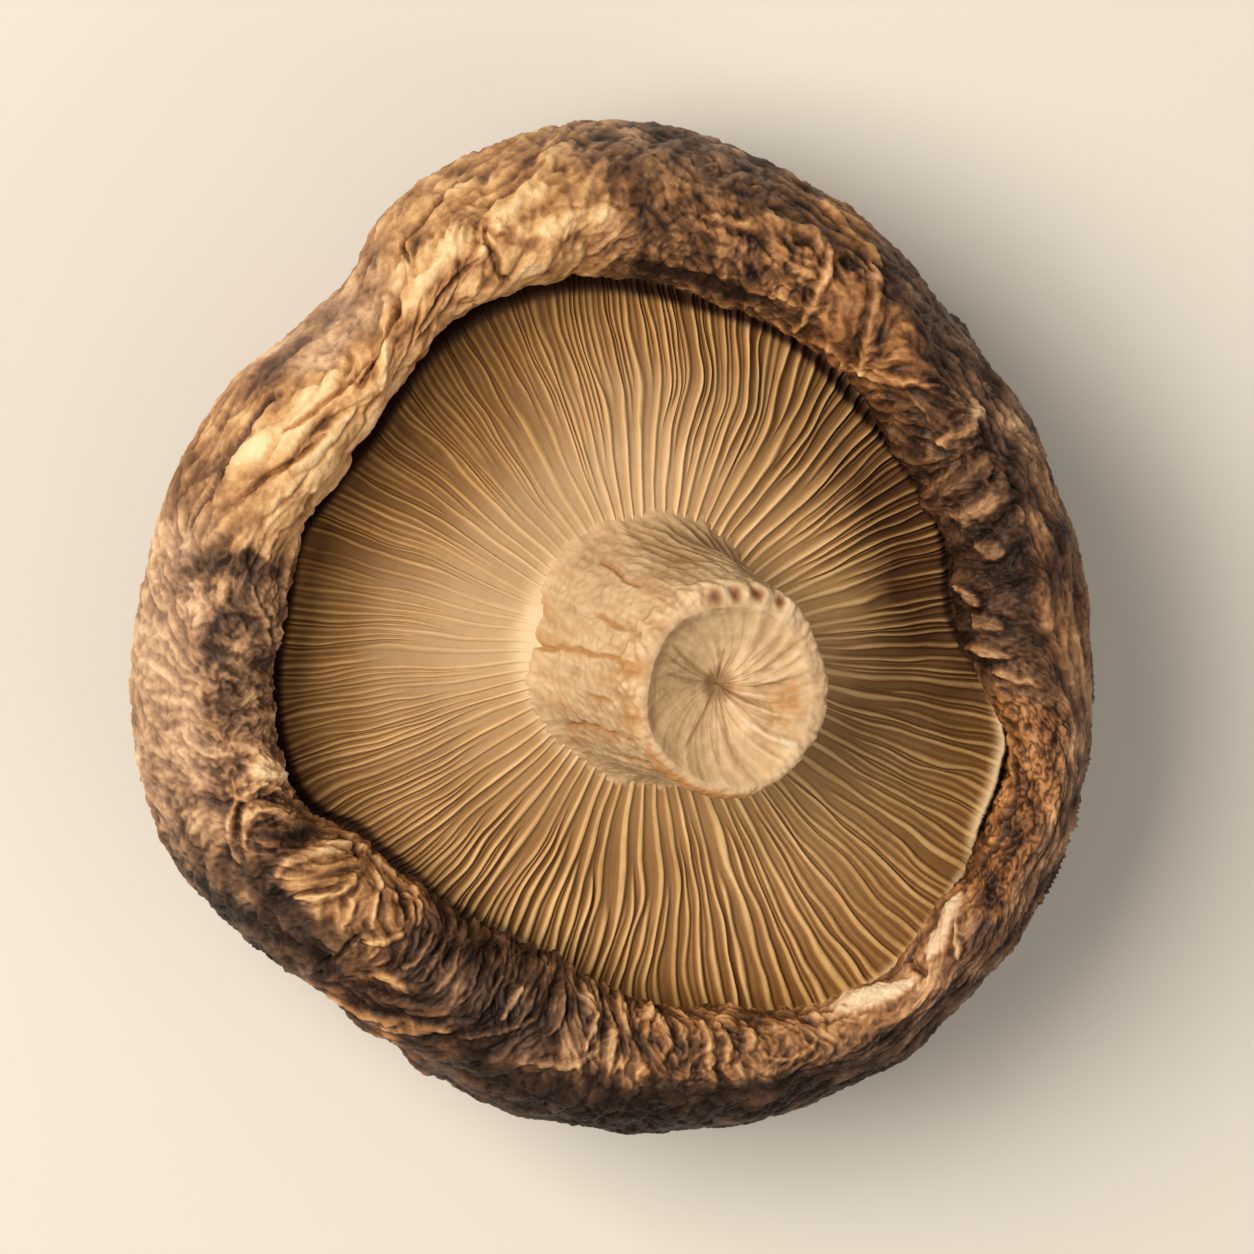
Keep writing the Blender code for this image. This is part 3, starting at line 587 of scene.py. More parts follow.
def rimMap():           # the rim's skin spread out flat, round the cap and over the rim
    columns = cap["columns"]
    step = cap["mapStep"]
    angle = np.linspace(0.0, math.tau, columns, endpoint=False)
    ways = cap["lowestWall"] + step * np.arange(round(cap["wallHeight"] / step))
    around, way = np.meshgrid(angle, ways)
    points = roundPoints(around, cap["mapRadius"], way).reshape(-1, 3)

    def noiseOf(size, seed, layers=1):
        return layeredNoise(points / size, layers, seed).reshape(way.shape)

    edgeNoise = noiseOf(2.4, 41, 3)
    shifted = around + math.radians(1.5) * edgeNoise
    inner = smoothStep(-0.7, 0.7, way - aroundRim(foldStart, around, 1) + 0.9 * edgeNoise)
    skin = {}
    for column, name in enumerate(skinColumns):
        skin[name] = between(aroundRim(wallSkin, shifted, column), aroundRim(foldSkin, shifted, column), inner)
    swing = noiseOf(3.0, 42)
    swingFine = noiseOf(1.3, 43)
    # in a few places the wrinkles keep to one way
    calm = inner * np.maximum(bumpAt(around, 243, 20), 0.8 * bumpAt(around, 8, 26))
    calm = calm + (1.0 - inner) * np.maximum(bumpAt(around, 5, 75), bumpAt(around, 216, 16))
    turn = np.radians(skin["turn"]) + (1.0 - 0.65 * calm) * (swing + 1.2 * swingFine)
    gap = skin["gap"] * (1.0 + 0.6 * noiseOf(2.6, 44))
    steps = (cap["mapRadius"] * math.tau / columns, step)
    broad = wrinkleMap(turn, 2.2 * gap, (1.0, 1.5, 2.3, 3.4, 5.0), steps, 63)
    waves = wrinkleMap(turn, gap, (0.5, 0.75, 1.1, 1.6, 2.3), steps, 61)
    fine = wrinkleMap(turn + 0.8 * swingFine, 0.45 * gap, (0.32, 0.46, 0.66, 1.0), steps, 62)
    lines = np.abs(2.0 * wrinkleMap(turn + 0.3 * swing, 1.9 * gap, (1.0, 1.5, 2.2, 3.2, 4.6), steps, 64, 2) - 1.0)
    plump = skin["form"] > 0.0
    lined = np.where(plump, lines ** 0.8, 1.0 - np.minimum(1.0, 1.5 * lines) ** 0.7)
    isPale = smoothStep(0.55, 0.75, 0.5 * (skin["dark"] + skin["pale"]))
    fineGrit, coarseGrit = [lobes(points / size, seed).reshape(way.shape) for size, seed in ((0.48, 66), (0.95, 65))]
    grit = between(fineGrit, coarseGrit, 0.25 + 0.35 * smoothStep(0.42, 0.6, skin["gap"]))
    grit = smoothStep(0.15, 0.85, grit)
    gritShare = np.clip(skin["grit"] + 0.15, 0.0, 1.0)
    folds = between(waves, lined, np.abs(skin["form"]))
    gritShare = gritShare * (1.0 - 0.6 * isPale * (1.0 - skin["grit"]))
    fineShare = (1.0 - 0.6 * isPale) * (1.0 - 0.6 * gritShare)
    folds = between(folds, grit, gritShare)
    relief = folds ** 0.75 - 0.6 + 0.7 * (broad - 0.5) + 0.4 * fineShare * (fine - 0.5)
    height = skin["high"] * between(1.35, 1.0, inner) * relief
    ridge = 0.22 * broad + (0.60 + 0.2 * (1.0 - fineShare)) * folds + 0.20 * fineShare * fine
    ridge = smoothStep(0.05, 0.95, ridge)
    # the valleys are darker than the ridges: partly the skin's own colour, partly painted shade in the valleys
    tone = between(skin["dark"], skin["pale"], ridge)
    warm = skin["warm"] * between(0.7, 1.2, ridge) + 0.7 * isPale * (1.0 - smoothStep(0.05, 0.45, folds))
    grey = skin["grey"] * between(1.2, 0.7, ridge)
    tone += (0.30 - 0.21 * isPale) * noiseOf(2.0, 69, 4)
    layWrinkles(height, tone, warm, grey, around, way, points)
    height += cap["bigLumps"] * noiseOf(6.5, 67)
    height += cap["smallLumps"] * noiseOf(2.8, 68)
    # painted shade under the lip, then brown in the hollow behind it
    paintedShadeUnderLip = 0.30 * smoothStep(5.9, 6.9, way) + 0.45 * smoothStep(6.8, 7.4, way)
    paintedShadeUnderLip = paintedShadeUnderLip - 0.55 * smoothStep(7.6, 8.6, way)
    tone -= paintedShadeUnderLip * (1.0 - bumpAt(around, 305, 26))
    tone = between(tone, 0.34 + 0.30 * noiseOf(1.6, 70, 3), smoothStep(7.8, 8.6, way))
    return height, tone, warm, grey


def sampleMap(field, row, column):
    row = np.clip(row, 0.0, field.shape[0] - 1.001)
    column = np.clip(column, 0.0, field.shape[1] - 1.001)
    r, c = row.astype(int), column.astype(int)
    dr, dc = row - r, column - c
    upper = field[r, c] * (1.0 - dc) + field[r, c + 1] * dc
    lower = field[r + 1, c] * (1.0 - dc) + field[r + 1, c + 1] * dc
    return upper * (1.0 - dr) + lower * dr


def makeCap():
    angle = np.linspace(0.0, math.tau, cap["columns"], endpoint=False)
    rings = capRings(angle)
    p, grid = gridOf(rings, angle)
    radius = np.array([r for share, r, h in rings])
    normal = gridNormals(grid)
    step, flat, rest = cap["mapStep"], cap["flatShare"], shape["restRadius"]
    fromMiddle = np.where(p < flat, rest * p / flat, rest + (p - flat) * cap["crownArc"])[:, None]
    rowOnCrown = (fromMiddle * np.sin(angle) + cap["crownHalf"]) / step
    columnOnCrown = (fromMiddle * np.cos(angle) + cap["crownHalf"]) / step
    crown = [sampleMap(field, rowOnCrown, columnOnCrown) for field in crownMap()]
    print("mushroom: crown skin done")
    rowOnRim = np.clip((wayOver(p) - cap["lowestWall"]) / step, 0.0, cap["wallHeight"] / step - 1.001)
    low = rowOnRim.astype(int)
    share = (rowOnRim - low)[:, None]
    rim = [field[low] * (1.0 - share) + field[low + 1] * share for field in rimMap()]
    print("mushroom: rim skin done")

    # the crown's skin gives way to the rim's along a ragged line, lower on the pale side
    ragged = layeredNoise(roundPoints(angle, 5.0), 3, 93)
    paleSide = bumpAt(angle, 150, 65)
    onRim = smoothStep(0.93, 1.03, p[:, None] + (0.13 - 0.08 * paleSide) * ragged - 0.02 + 0.22 * paleSide)
    move, tone, warm, grey = [between(first, second, onRim) for first, second in zip(crown, rim)]
    move = move + cap["fineGrain"] * layeredNoise(grid.reshape(-1, 3) / 0.4, 2, 91).reshape(move.shape)
    move = move * (1.0 - smoothStep(2.05, 2.22, p))[:, None]
    move = np.where(p[:, None] < 0.9, move * smoothStep(4.0, 8.5, radius), move)    # the flat spot stays flat
    lipShare = smoothStep(1.6, 1.95, p) * (1.0 - smoothStep(2.1, 2.2, p))
    lipShift = cap["lipWobble"] * lipShare[:, None] * layeredNoise(roundPoints(angle, 7.0), 2, 92)
    grid = grid + normal * move[:, :, None]
    grid[:, :, 0] += lipShift * np.cos(angle)
    grid[:, :, 1] += lipShift * np.sin(angle)
    grid[:, :, 2] = np.maximum(grid[:, :, 2], 0.0)
    marks = {name: np.clip(values, 0.0, 1.0) for name, values in (("tone", tone), ("warm", warm), ("grey", grey))}
    half, crownEnd = cap["crownRings"] // 2, cap["crownRings"]
    wallEnd = crownEnd + cap["wallRings"]
    foldEnd = wallEnd + cap["foldRings"]
    return cutPieces(grid, marks, (
        ("crownMiddle", 0, half), ("crownSide", half, crownEnd), ("rimWall", crownEnd, wallEnd),
        ("rimFold", wallEnd, foldEnd), ("rimLip", foldEnd, len(grid) - 1),
    ))


# the gills: thin blades that run from the rim to the stem, with short ones between

gills = {
    "seed": 4, "blades": 160, "rings": 96, "bladeDepth": 0.44, "sway": 1.6, "unevenSpacing": 0.30,
    # over one blade and half the gaps beside it: where, how high the blade, how high it is
    # before the next blade starts, how high the thin short blade in the middle of the gap
    "across": (
        (-0.5, 0.0, 0.05, 1.0), (-0.42, 0.0, 0.16, 0.75), (-0.34, 0.0, 0.38, 0.20), (-0.25, 0.08, 0.66, 0.0),
        (-0.16, 0.48, 0.90, 0.0), (-0.08, 0.88, 0.99, 0.0), (0.0, 1.0, 1.0, 0.0), (0.08, 0.88, 0.99, 0.0),
        (0.16, 0.48, 0.90, 0.0), (0.25, 0.08, 0.66, 0.0), (0.34, 0.0, 0.38, 0.20), (0.42, 0.0, 0.16, 0.75),
    ),
    "inner": 5.1, "footRise": 0.25, "footStart": 9.0,
    # how far out the short blades start, and after those the thin ones, in mm
    "shortStart": (7.2, 12.5), "thinStart": (0.3, 2.5),
    # where blades bend: angle, how far round, degrees, from and to how far out
    "bends": ((68, 22, 4.0, 12.5, 17.0), (278, 24, -3.0, 12.5, 18.0)),
    # where the gills end short of the lip, with a dark step down: angle, how far round
    "shortEdge": (-21, 15),
    # a browner place beside the stem: angle, how far round, how far out, width in mm
    "brownPatch": (16, 27, 15.0, 2.7),
}


def makeGills():
    draw = np.random.default_rng(gills["seed"])
    blades = gills["blades"]
    number = np.arange(blades)
    phases, profile, aloneProfile, thinProfile = np.array(gills["across"]).T
    uneven = gills["unevenSpacing"]
    bladeAngle = (number + draw.uniform(-uneven, uneven, blades)) / blades * math.tau
    strength = draw.uniform(0.6, 1.0, blades)
    shade = draw.uniform(-1.0, 1.0, blades)
    openPlace = np.maximum(bumpAt(bladeAngle, 282, 60), 0.9 * bumpAt(bladeAngle, 45, 34))
    thinStrength = draw.uniform(0.25, 0.9, blades) * (1.0 - 0.6 * openPlace)
    start = np.where(number % 2 == 0, 4.0, draw.uniform(*gills["shortStart"], blades))
    thinStart = np.maximum(start, np.roll(start, -1)) + draw.uniform(*gills["thinStart"], blades)
    isDark = draw.uniform(0.0, 1.0, blades) < 0.18 + 0.25 * openPlace
    darkGap = np.where(isDark, draw.uniform(0.4, 1.0, blades), 0.0)
    darkStart = draw.uniform(7.0, 12.0, blades)

    # each column of points belongs to a blade and to the gap on one side of it
    blade = np.repeat(number, len(phases))
    phase = np.tile(phases, blades)
    neighbour = np.where(phase < 0, blade - 1, blade + 1) % blades
    gapAt = np.where(phase < 0, blade - 1, blade) % blades
    angle = bladeAngle[blade] + awayFrom(bladeAngle[neighbour], bladeAngle[blade]) * np.abs(phase)
    gapHere = smoothStep(0.2, 0.8, bumpAt(angle, *gills["shortEdge"]))
    share = np.linspace(0.0, 1.0, gills["rings"])[:, None]
    share = share * (1.15 - 0.15 * share)
    radius = between(gills["inner"], recessRadius(angle) - 0.15, share)
    angles = np.broadcast_to(angle, radius.shape)
    ownPath = np.stack([np.broadcast_to(blade * 7.3, radius.shape), radius / 2.2, 0.0 * radius], axis=-1)

    def near(centre, width):
        return bumpAt(angles, centre, width)

    def upTo(low, high):            # 1 by the stem, 0 past the higher radius
        return 1.0 - smoothStep(low, high, radius)

    def noiseAt(around, along, seed):
        return softNoise(roundPoints(angles, around, radius / along).reshape(-1, 3), seed).reshape(radius.shape)

    def bladeNoise(size, seed):     # each blade has its own
        return softNoise(ownPath.reshape(-1, 3) * size, seed).reshape(radius.shape)

    # how the blades bend on their way out
    turn = angles + math.radians(gills["sway"]) * noiseAt(3.0, 5.0, 71)
    turn = turn + math.radians(0.45) * noiseAt(22.0, 2.4, 72)
    turn = turn + math.radians(0.55) * (1.0 - 2.0 * np.abs(phase)) * bladeNoise(1.0, 78)
    for centre, width, bend, bendStart, bendEnd in gills["bends"]:
        turn = turn + math.radians(bend) * near(centre, width) * smoothStep(bendStart, bendEnd, radius)

    # the blades' tops: lower by the rim, higher against the stem
    inner = shape["gillInner"]
    reach = np.clip((radius - inner) / (recessRadius(angle) - inner), 0.0, 1.0)
    top = between(shape["gillNearStem"], shape["gillNearRim"], smoothStep(0.0, 0.85, reach)) + shape["gillRidge"]
    top = top + 0.4 * noiseAt(2.0, 8.0, 73) * smoothStep(7.5, 12.0, radius)
    top = top + gills["footRise"] * (np.maximum(0.0, gills["footStart"] - radius) / 2.0) ** 2
    depth = gills["bladeDepth"] * between(0.5, 1.0, smoothStep(6.0, 13.0, radius)) * smoothStep(5.3, 6.4, radius)
    depth = depth * (1.0 + 0.25 * near(45, 30) - 0.40 * near(140, 50) - 0.22 * near(305, 42))

    # by the lip: mm in under it, counted from further in on the side that the stem leans
    # away from. The gills rise to the lip at the front, stop short of it at one side with a
    # pale edge, and sink under it elsewhere
    meetsLip = bumpAt(angles, 293, 42)
    pastLip = radius - lipRadius(angle) + 0.85 * np.cos(angles - math.radians(145.0))
    stepAt = 1.2 * (1.0 - gapHere) - 0.65 + 0.12 * noiseAt(7.0, 99.0, 77)
    stepAt = stepAt + 0.40 * smoothStep(0.0, 0.5, near(350, 8))
    stepDown = gapHere * smoothStep(0.0, 0.30, pastLip - stepAt)
    liftAtEdge = meetsLip * (1.0 - gapHere) * smoothStep(-0.30, 0.0, pastLip)
    paleEdge = np.maximum(liftAtEdge, gapHere * np.exp(-(((pastLip - stepAt + 0.12) / 0.28) ** 2)))
    sinkAtEdge = (1.0 - meetsLip) * (1.0 - gapHere) * smoothStep(-0.40, 0.3, pastLip)
    top = top + 0.5 * liftAtEdge + 0.2 * (paleEdge - liftAtEdge) - 0.6 * sinkAtEdge - 0.55 * stepDown
    depth = depth * (1.0 - 0.85 * np.maximum(0.7 * liftAtEdge, paleEdge * gapHere))

    # how high each place stands between the gap's floor and the blade's top
    present = smoothStep(0.0, 2.5, radius - start[blade]) * strength[blade]
    alone = 1.0 - smoothStep(0.0, 2.5, radius - start[neighbour])
    soft = 1.0 - 0.40 * near(145, 55) - 0.25 * near(325, 28)
    thick = 0.15 + 0.75 * np.maximum(near(322, 42), near(255, 30))
    rise = between(np.tile(profile, blades), np.tile(aloneProfile, blades), alone)
    rise = between(rise, smoothStep(0.0, 0.6, rise), thick) * present * soft
    thin = smoothStep(0.0, 2.0, radius - thinStart[gapAt]) * thinStrength[gapAt]
    rise = rise + np.tile(thinProfile, blades) * thin * (1.0 - darkGap[gapAt])
    rise = rise * (1.0 + 0.14 * noiseAt(40.0, 0.9, 74))
    rise = rise * (0.92 + 0.35 * bladeNoise(0.6, 79))
    valley = 1.0 - smoothStep(0.0, 0.5, rise)
    crisp = np.maximum(near(322, 40), 0.6 * near(245, 40)) * smoothStep(8.5, 11.5, radius)
    inGap = valley * darkGap[gapAt] * smoothStep(0.2, 1.2, radius - darkStart[gapAt])
    height = top - depth * (1.0 - rise + 0.2 * inGap)
    height[-1] = deepest
    grid = np.stack([radius * np.cos(turn), radius * np.sin(turn), height], axis=2)

    # colours
    patchAt, patchWide, patchOut, patchDeep = gills["brownPatch"]
    brown = near(patchAt, patchWide) * np.exp(-((np.maximum(0.0, patchOut - radius) / patchDeep) ** 2))
    brown = 1.4 * brown * (1.0 + 0.5 * noiseAt(6.0, 2.5, 75))
    # at the upper left, painted shade under the lip; elsewhere a little browner at the top and at the lower left by
    # the stem, paler at the lower right
    brownerAndShade = 0.30 * near(138, 26) + 0.05 * near(90, 20) - 0.25 * near(315, 25)
    brownerAndShade = brownerAndShade + 0.30 * near(262, 48) * upTo(10.5, 14.0)
    # painted shade: a dark seam just inside the lip, where the lip shades the gills, wider at the upper left
    paintedShadeSeam = smoothStep(-0.55, -0.05, pastLip + 0.4 * near(118, 38)) - 0.7 * smoothStep(0.2, 0.8, pastLip)
    paintedShadeSeam = paintedShadeSeam * (1.0 - meetsLip) * (1.0 - gapHere)
    fuzz = 1.0 + 0.8 * noiseAt(9.0, 0.8, 80)
    besideStem = (1.0 - smoothStep(5.9, 7.6, radius + 0.4 * fuzz)) * (0.2 + 0.7 * fuzz * near(185, 62))
    besideStem = besideStem + 0.25 * near(135, 65) * upTo(9.0, 12.0)
    besideStem = besideStem + 0.20 * (near(88, 22) + near(180, 24)) * upTo(12.5, 15.0)
    # painted light where the stem's shadow falls at the right, and on the gills by the stem at the upper left;
    # painted darker by the stem at the lower left
    paintedLightAndShade = 7.0 * near(2, 26) * upTo(10.0, 13.0) + near(125, 75) * upTo(10.5, 13.5)
    paintedLightAndShade = paintedLightAndShade - 2.0 * near(255, 50) * upTo(11.0, 13.5)
    # each blade's own tint, with painted shade in the valleys between blades and in the dark gaps, deeper where the
    # gills are crisp, where they are also a little lighter
    tintAndValleyShade = shade[blade] - 3.5 * inGap - (0.8 + 2.6 * crisp) * valley + 1.2 * crisp
    # the mark under the lip paints shade: on the seam just inside the lip and on the floor of the step down
    marks = {
        "edge": rise, "reach": np.clip((radius - 6.0) / 12.0 + brownerAndShade, 0.0, 1.0),
        "paintedShadeByLip": np.clip(paintedShadeSeam + 0.4 * stepDown, 0.0, 1.0),
        "shade": tintAndValleyShade + 1.6 * noiseAt(11.0, 3.5, 76) + paintedLightAndShade, "rimLight": 0.9 * paleEdge,
        "foot": np.clip(besideStem, 0.0, 1.0), "brown": np.clip(brown, 0.0, 0.95),
    }
    marks = {name: values[::-1] for name, values in marks.items()}
    half = gills["rings"] // 2
    cuts = (("gillsByRim", 0, half), ("gillsByStem", half, gills["rings"] - 1))
    return cutPieces(grid[::-1], marks, cuts)


# the stem: flared foot, fibrous flank, cut end with radial splits

stem = {
    "seed": 12, "columns": 420, "flankRings": 120, "cutRings": 90, "low": 13.25,
    "tip": 5.15, "taper": 0.5, "footFlare": 2.1, "flareHeight": 1.1,
    "tipRound": 0.9, "tipDrop": 0.55, "edgeShare": 0.2, "funnel": 1.3,
    "fibres": 0.07, "lumps": 0.12, "splits": 34, "splitDepth": 0.10, "ribs": 0.11,
    # cracks up the flank: angle at the foot and at the tip, lowest and highest point
    "cracks": (
        (178, 162, 14.0, 21.0), (121, 126, 15.6, 19.6), (219, 208, 15.0, 21.2), (146, 150, 17.5, 20.6),
        (236, 226, 17.0, 21.3), (196, 188, 18.0, 20.4),
    ),
    "specks": (61, 75, 88, 101),        # dark dots between the beads at the edge of the cut
}


def cutSplits(a, inward):
    draw = np.random.default_rng(stem["seed"])
    field = np.zeros_like(a)
    radius = 4.2 * (1.0 - inward)
    for split in range(stem["splits"]):
        middle = draw.uniform(0.0, math.tau)
        width = draw.uniform(0.05, 0.10)
        reach = draw.uniform(0.45, 0.95)
        strength = draw.uniform(0.25, 0.9) ** 2
        swing = draw.uniform(-0.2, 0.2)
        away = awayFrom(a, middle + swing * (1.0 - inward))
        line = np.exp(-((away * radius / width) ** 2))
        field = np.maximum(field, strength * line * (1.0 - smoothStep(0.7 * reach, reach, 1.0 - inward)))
    return field


def stemRings(angle):       # 0 to 1 up the flank, to 2 over the edge and in across the cut
    oval = 1.0 - 0.035 * np.cos(2.0 * angle) + 0.015 * np.cos(5.0 * angle + 1.0)
    bottom, tip, drop, edgeShare = shape["stemBottom"], shape["stemTop"], stem["tipDrop"], stem["edgeShare"]
    edge = stem["tipRound"] + 0.28 * np.cos(angle - math.radians(40.0))
    inside = stem["tip"] * oval - edge
    rings = []
    for ring in range(stem["flankRings"]):
        share = ring / (stem["flankRings"] - 1)
        height = between(stem["low"], tip - drop, share)
        radius = stem["tip"] + stem["taper"] * (1.0 - (height - bottom) / (tip - bottom))
        radius = radius + stem["footFlare"] * math.exp(-(height - bottom) / stem["flareHeight"])
        rings.append((share, radius * oval, height + 0.0 * angle))
    for ring in range(1, stem["cutRings"] + 1):
        share = ring / stem["cutRings"]
        if share < edgeShare:
            turn = 0.5 * math.pi * share / edgeShare
            radius = inside + edge * math.cos(turn)
            height = tip - drop + drop * math.sin(turn)
        else:
            inward = (share - edgeShare) / (1.0 - edgeShare)
            radius = inside * (1.0 - 0.9995 * inward)
            height = tip - stem["funnel"] * inward ** 0.8
        rings.append((1.0 + share, radius, height + 0.0 * angle))
    return rings


def makeStem():
    angle = np.linspace(0.0, math.tau, stem["columns"], endpoint=False)
    p, grid = gridOf(stemRings(angle), angle)
    normal = gridNormals(grid).reshape(-1, 3)
    flat = grid.reshape(-1, 3)
    p = np.repeat(p, len(angle))
    a = np.tile(angle, len(grid))
    z = flat[:, 2]
    x, y = 5.0 * np.cos(a), 5.0 * np.sin(a)
    onCut = smoothStep(1.14, 1.24, p)
    inward = np.clip((p - 1.2) / 0.8, 0.0, 1.0)

    def near(centre, width):
        return bumpAt(a, centre, width)

    def span(riseFrom, riseTo, fallFrom, fallTo):       # a stretch of the way up and over
        return smoothStep(riseFrom, riseTo, p) * (1.0 - smoothStep(fallFrom, fallTo, p))

    def fibreNoise(wide, long, seed, layers=1):
        return layeredNoise(np.stack([x / wide, y / wide, z / long], axis=1), layers, seed)

    # the flank: fibres, lumps, cracks, ribs on one side, beads and specks by the cut
    fibres = fibreNoise(0.55, 4.0, 81)
    fibresFine = fibreNoise(0.25, 2.0, 82)
    lumps = layeredNoise(flat / 2.4, 2, 83)
    crumbs = lobes(flat / 0.7, 84)
    granules = lobes(flat / 0.55, 94)
    crack = np.zeros_like(a)
    crackDrift = 0.05 * softNoise(flat / 1.1, 85)
    crackWide = 0.13 + 0.07 * softNoise(flat / 0.8, 97)
    for atFoot, atTip, low, high in stem["cracks"]:
        centre = np.radians(between(atFoot, atTip, np.clip((z - 13.5) / 8.0, 0.0, 1.0))) + crackDrift
        line = np.exp(-((awayFrom(a, centre) * 5.2 / crackWide) ** 2))
        crack = np.maximum(crack, line * smoothStep(low, low + 0.8, z) * (1.0 - smoothStep(high - 0.8, high, z)))
    nearTip = span(0.78, 0.97, 1.08, 1.2) * near(165, 75)
    twist = a + 0.09 * (z - 13.0) + 0.06 * layeredNoise(flat / 2.0, 2, 95)
    ribShare = near(62, 46) * span(0.03, 0.25, 0.55, 0.9)
    ribs = smoothStep(-0.3, 0.9, np.cos(46.0 * twist)) * ribShare
    speck = np.zeros_like(a)
    for number, place in enumerate(stem["specks"]):
        wide = 0.20 + 0.07 * (number % 2) + 0.06 * softNoise(flat / 0.4, 102)
        across = awayFrom(a, math.radians(place)) * 4.7 / wide
        along = (p - 1.100 - 0.01 * number) / 0.048
        speck = np.maximum(speck, np.exp(-(across ** 2 + along ** 2)))
    beadShare = near(82, 34) * np.exp(-(((p - 1.09) / 0.07) ** 2))
    beadTurn = 25.0 * (a - math.radians(68.0)) + 1.2 * softNoise(flat / 1.2, 100)
    flank = stem["fibres"] * (fibres + 0.6 * fibresFine) + stem["lumps"] * lumps - 0.16 * crack
    flank += 0.14 * nearTip * (crumbs - 0.5) + 0.05 * (granules - 0.5) * (1.0 - ribShare) + stem["ribs"] * ribs
    flank += beadShare * (0.18 * np.cos(beadTurn) - 0.10 * speck)

    # the cut: splits and streaks from its middle, raised and crumbly on one side
    splits = cutSplits(a, inward) * (1.0 - smoothStep(0.82, 0.97, inward))
    swung = a + 0.5 * inward
    streaks = softNoise(roundPoints(swung, 13.0, inward * 1.5), 88)
    broadStreaks = softNoise(roundPoints(swung, 6.0, inward * 0.9), 98)
    raised = near(-15, 70)
    crumbly = near(-14, 20) * np.exp(-(((inward - 0.25) / 0.20) ** 2))
    cut = -stem["splitDepth"] * splits + (0.03 + 0.08 * raised) * streaks * (1.0 - 0.6 * inward)
    cut += (0.05 + 0.32 * raised) * broadStreaks * (1.0 - inward) ** 0.5
    cut += (0.03 + 0.05 * raised + 0.12 * crumbly) * layeredNoise(flat / 0.8, 3, 89)
    cut += 0.22 * near(-30, 62) * np.exp(-(((inward - 0.12) / 0.10) ** 2))
    cut -= 0.14 * (1.0 - raised) * smoothStep(0.0, 0.16, inward)

    flat = flat + normal * between(flank, cut, onCut)[:, None]
    bottom, tip = shape["stemBottom"], shape["stemTop"]
    climb = np.clip((z - bottom) / (tip - bottom), 0.0, 1.0) ** 1.3
    flat[:, 0] += shape["stemLean"][0] * climb
    flat[:, 1] += shape["stemLean"][1] * climb

    # colours
    tone = 0.58 + 0.09 * fibres + 0.07 * fibresFine + 0.12 * lumps - 0.25 * crack - 0.40 * speck
    tone += 0.12 * (granules - 0.55) * (1.0 - ribShare) + 0.22 * nearTip * (crumbs - 0.5)
    tone += 0.24 * (ribs - 0.6) * ribShare - 0.10 * ribShare + 0.20 * beadShare * (1.0 - speck)
    cutTone = 0.55 - 0.28 * splits + 0.09 * streaks + (0.05 + 0.20 * raised) * broadStreaks
    # painted shade on the cut's left side here, and on the next line painted light on its raised right side, partly
    # its own paler crumbs
    cutTone += 0.07 * lumps - 0.10 * near(165, 80)
    cutTone += 0.22 * raised * (0.5 + layeredNoise(flat / 1.3, 3, 96)) - 0.10 * crumbly
    middle = smoothStep(0.77, 0.92, inward + 0.09 * streaks + 0.04 * layeredNoise(flat / 0.5, 2, 101))
    tone = between(tone, cutTone - 0.40 * middle, onCut)
    patchy = 0.75 + 0.9 * layeredNoise(flat / 0.9, 2, 99)
    stain = 1.1 * near(262, 24) * span(0.95, 1.0, 1.09, 1.16)
    stain += 0.9 * patchy * near(222, 34) * span(0.90, 1.0, 1.08, 1.18)
    stain += 0.7 * crumbly * np.maximum(0.0, patchy) + 0.15 * middle
    patches = np.maximum(0.0, fibreNoise(1.1, 2.6, 90, 3))
    stain += (0.85 * crack + speck + 0.75 * patches * near(170, 80)) * (1.0 - onCut)
    stain += 0.4 * nearTip * (1.0 - crumbs) + 0.6 * onCut * np.maximum(0.0, softNoise(flat / 1.0, 93)) * raised
    marks = {
        "tone": np.clip(tone, 0.0, 1.0), "stain": np.clip(stain, 0.0, 1.0), "speck": speck,
        "low": (1.0 - smoothStep(13.4, 14.6, z)) * (0.75 - 0.6 * near(190, 62)),
    }
    marks = {name: values.reshape(grid.shape[:2]) for name, values in marks.items()}
    return meshFromGrid("stemBody", flat.reshape(grid.shape), marks)


# materials

def nodesOf(name):
    material = bpy.data.materials.new(name)
    material.use_nodes = True
    tree = material.node_tree
    tree.nodes.clear()
    output = tree.nodes.new("ShaderNodeOutputMaterial")
    shader = tree.nodes.new("ShaderNodeBsdfPrincipled")
    tree.links.new(shader.outputs[0], output.inputs[0])
    return material, tree, shader


def readMark(tree, name):
    node = tree.nodes.new("ShaderNodeAttribute")
    node.attribute_name = name
    return node.outputs["Fac"]


def noiseNode(tree, scale, detail=3.0, roughness=0.55):
    place = tree.nodes.new("ShaderNodeTexCoord")
    node = tree.nodes.new("ShaderNodeTexNoise")
    node.inputs["Scale"].default_value = scale
    node.inputs["Detail"].default_value = detail
    node.inputs["Roughness"].default_value = roughness
    tree.links.new(place.outputs["Object"], node.inputs["Vector"])
    return node.outputs["Fac"]


def mathNode(tree, operation, *values):
    node = tree.nodes.new("ShaderNodeMath")
    node.operation = operation
    for socket, value in zip(node.inputs, values):
        if isinstance(value, float):
            socket.default_value = value
        else:
            tree.links.new(value, socket)
    return node.outputs[0]


def sumOf(tree, first, second, factor):     # first + factor * second
    return mathNode(tree, "MULTIPLY_ADD", second, factor, first)


def scaled(tree, value, factor):
    return mathNode(tree, "MULTIPLY", value, factor)


def offset(tree, value, amount):
    return mathNode(tree, "ADD", value, amount)


